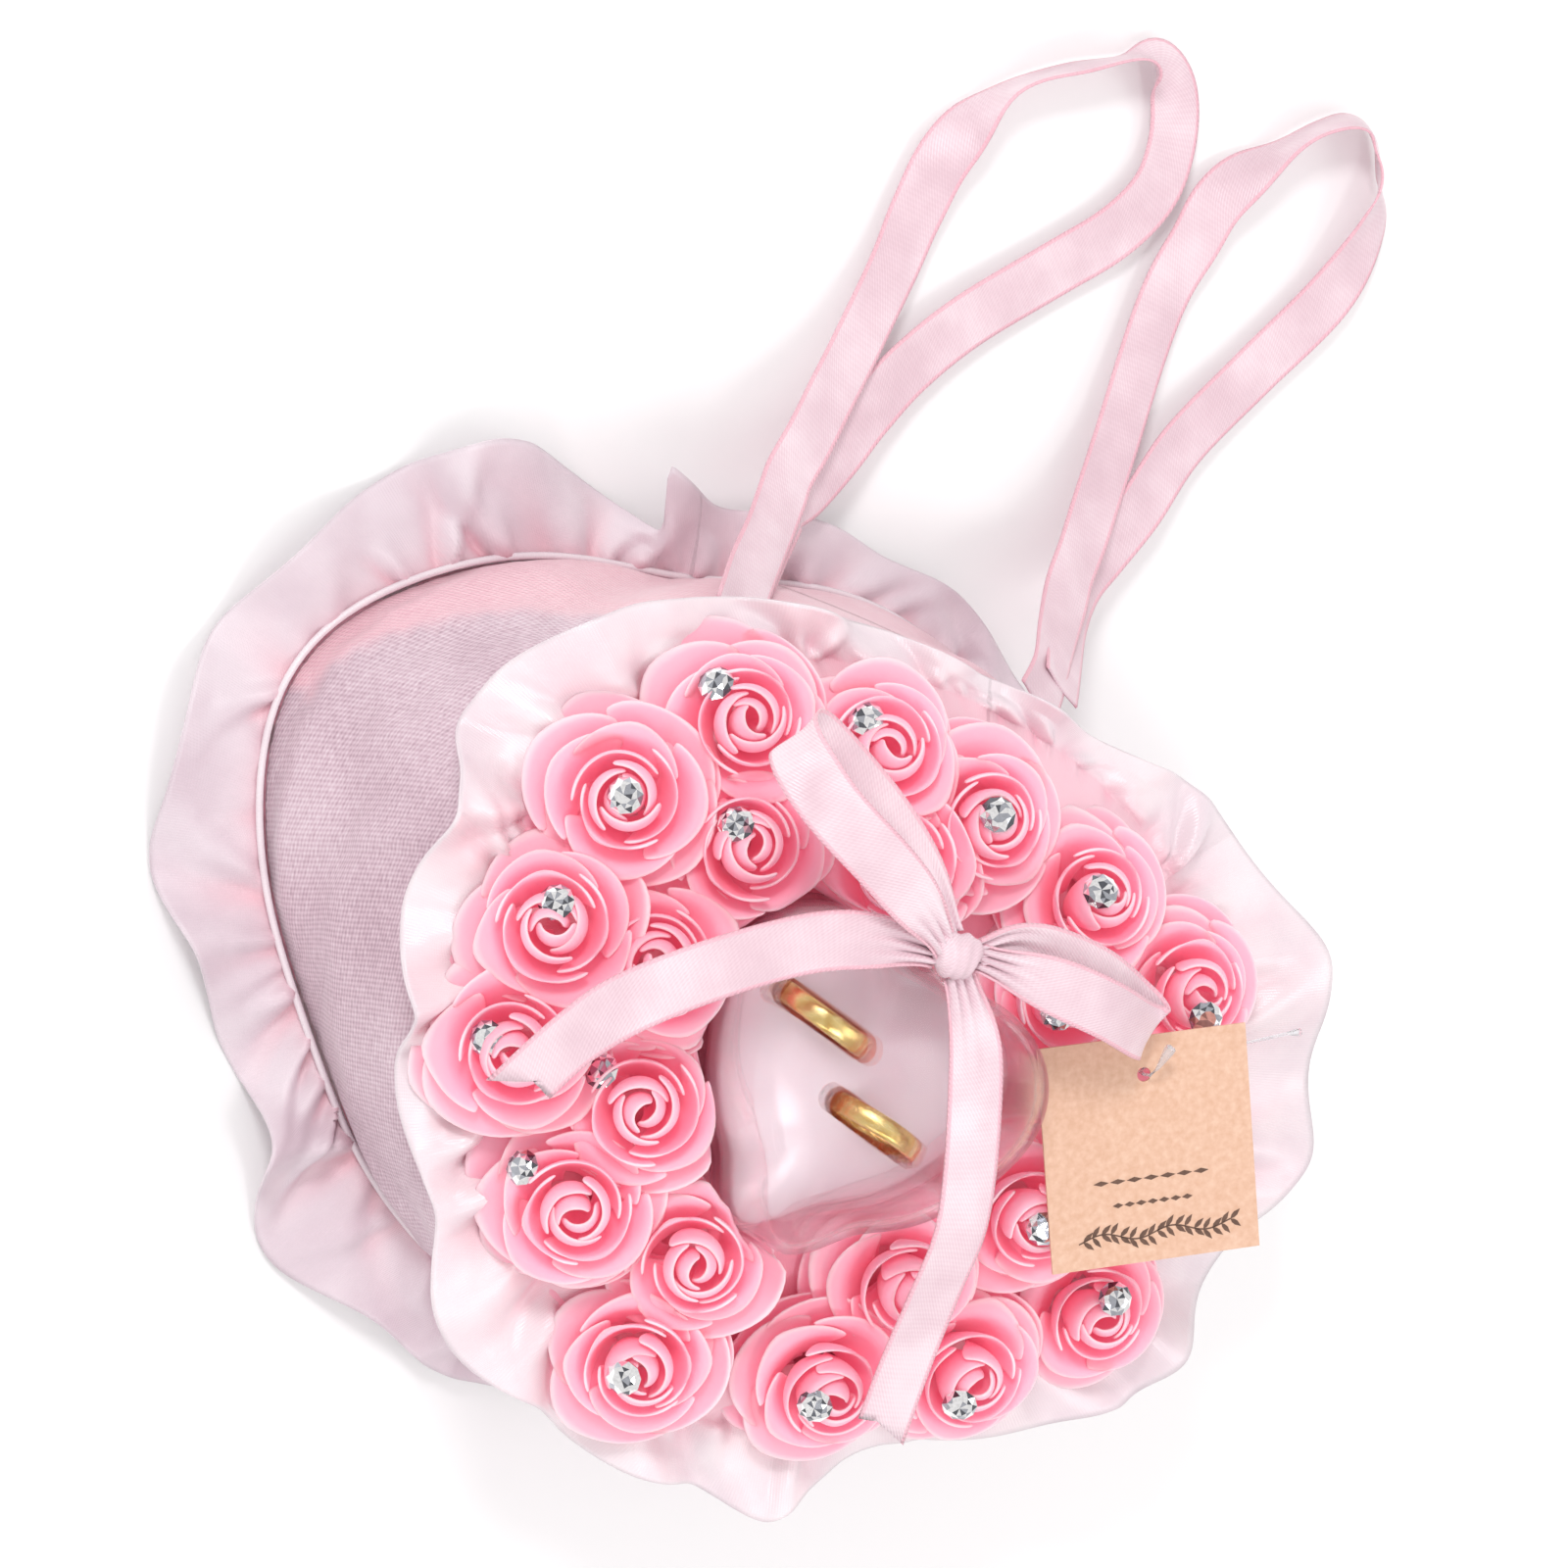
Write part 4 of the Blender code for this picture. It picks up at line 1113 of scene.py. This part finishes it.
def make_band(number, middle, turn, paints):
    """A wedding band: a slightly domed strip of gold, bent round."""
    profile = ((-2.2, 0.55), (-2.05, 1.05), (-1.2, 1.3), (0, 1.4), (1.2, 1.3), (2.05, 1.05), (2.2, 0.55),
               (2.05, 0.1), (0, 0.0), (-2.05, 0.1))
    count = 96
    inside = 0.0093
    points = []
    for k in range(count):
        a = math.tau * k / count
        for across, out in profile:
            radius = inside + out * MM
            points.append(middle + turn @ Vector((radius * math.cos(a), across * MM, radius * math.sin(a))))
    faces = grid_faces(count, len(profile), True, True)
    band = new_piece(f"gold_band_{number}", points, faces, paints["gold"], f"ring_{number}")
    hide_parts(f"ring_{number}")


TAG_HOLE = Vector((0.082, -0.020, 0.094))
TAG_NORMAL = Vector((-0.2, 0.08, 1.0)).normalized()
TAG_TURN = 3  # degrees


def make_tag_motif(paints):
    """A plain printed motif on the card: two rules and a sprig of leaves. There is no lettering."""
    flat = Vector(UP).rotation_difference(TAG_NORMAL).to_matrix()
    flat @= Matrix.Rotation(math.radians(TAG_TURN), 3, "Z")
    points, faces = [], []

    def shape(corners):
        start = len(points)
        for x, y in corners:
            points.append(TAG_HOLE + flat @ Vector((x * MM, y * MM, 0.36 * MM)))
        faces.append(tuple(range(start, len(points))))

    for y, half in ((-21.5, 13), (-26.5, 9)):
        for k in range(-3, 4):
            x = k * half / 3.6
            shape(((x - 0.13 * half, y), (x, y - 0.55), (x + 0.13 * half, y), (x, y + 0.55)))
    stem = [(x / 2, -33 + 0.9 * math.sin(x / 2 * 0.42)) for x in range(-33, 34)]
    shape([(x, y + 0.16) for x, y in stem] + [(x, y - 0.16) for x, y in reversed(stem)])
    for number, (x, y) in enumerate(stem[2::4]):
        for side in (-1, 1):
            a = math.radians(side * (52 if number % 2 else 40))
            along, across = Vector((math.cos(a), math.sin(a))), Vector((-math.sin(a), math.cos(a)))
            leaf = []
            for t, w in ((0, 0), (0.25, 0.42), (0.55, 0.5), (1, 0), (0.55, -0.5), (0.25, -0.42)):
                spot = Vector((x, y)) + along * 2.9 * t + across * w
                leaf.append((spot.x, spot.y))
            shape(leaf)
    new_piece("tag_motif", points, faces, paints["ink"], "tag", smooth=False)


def dress_cad(paints):
    """Better finishes for the CAD nodes whose shape is kept."""
    for node, paint in (("tag_card", "card"), ("tag_fastener", "nylon")):
        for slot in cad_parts[node].material_slots:
            slot.material = paints[paint]


def main():
    make_camera()
    make_studio()
    paints = make_paints()
    make_pillow(paints)
    make_ruffles(paints)
    make_roses(paints)
    make_bow(paints)
    make_handles(paints)
    make_ring_box(paints)
    make_tag_motif(paints)
    dress_cad(paints)


main()
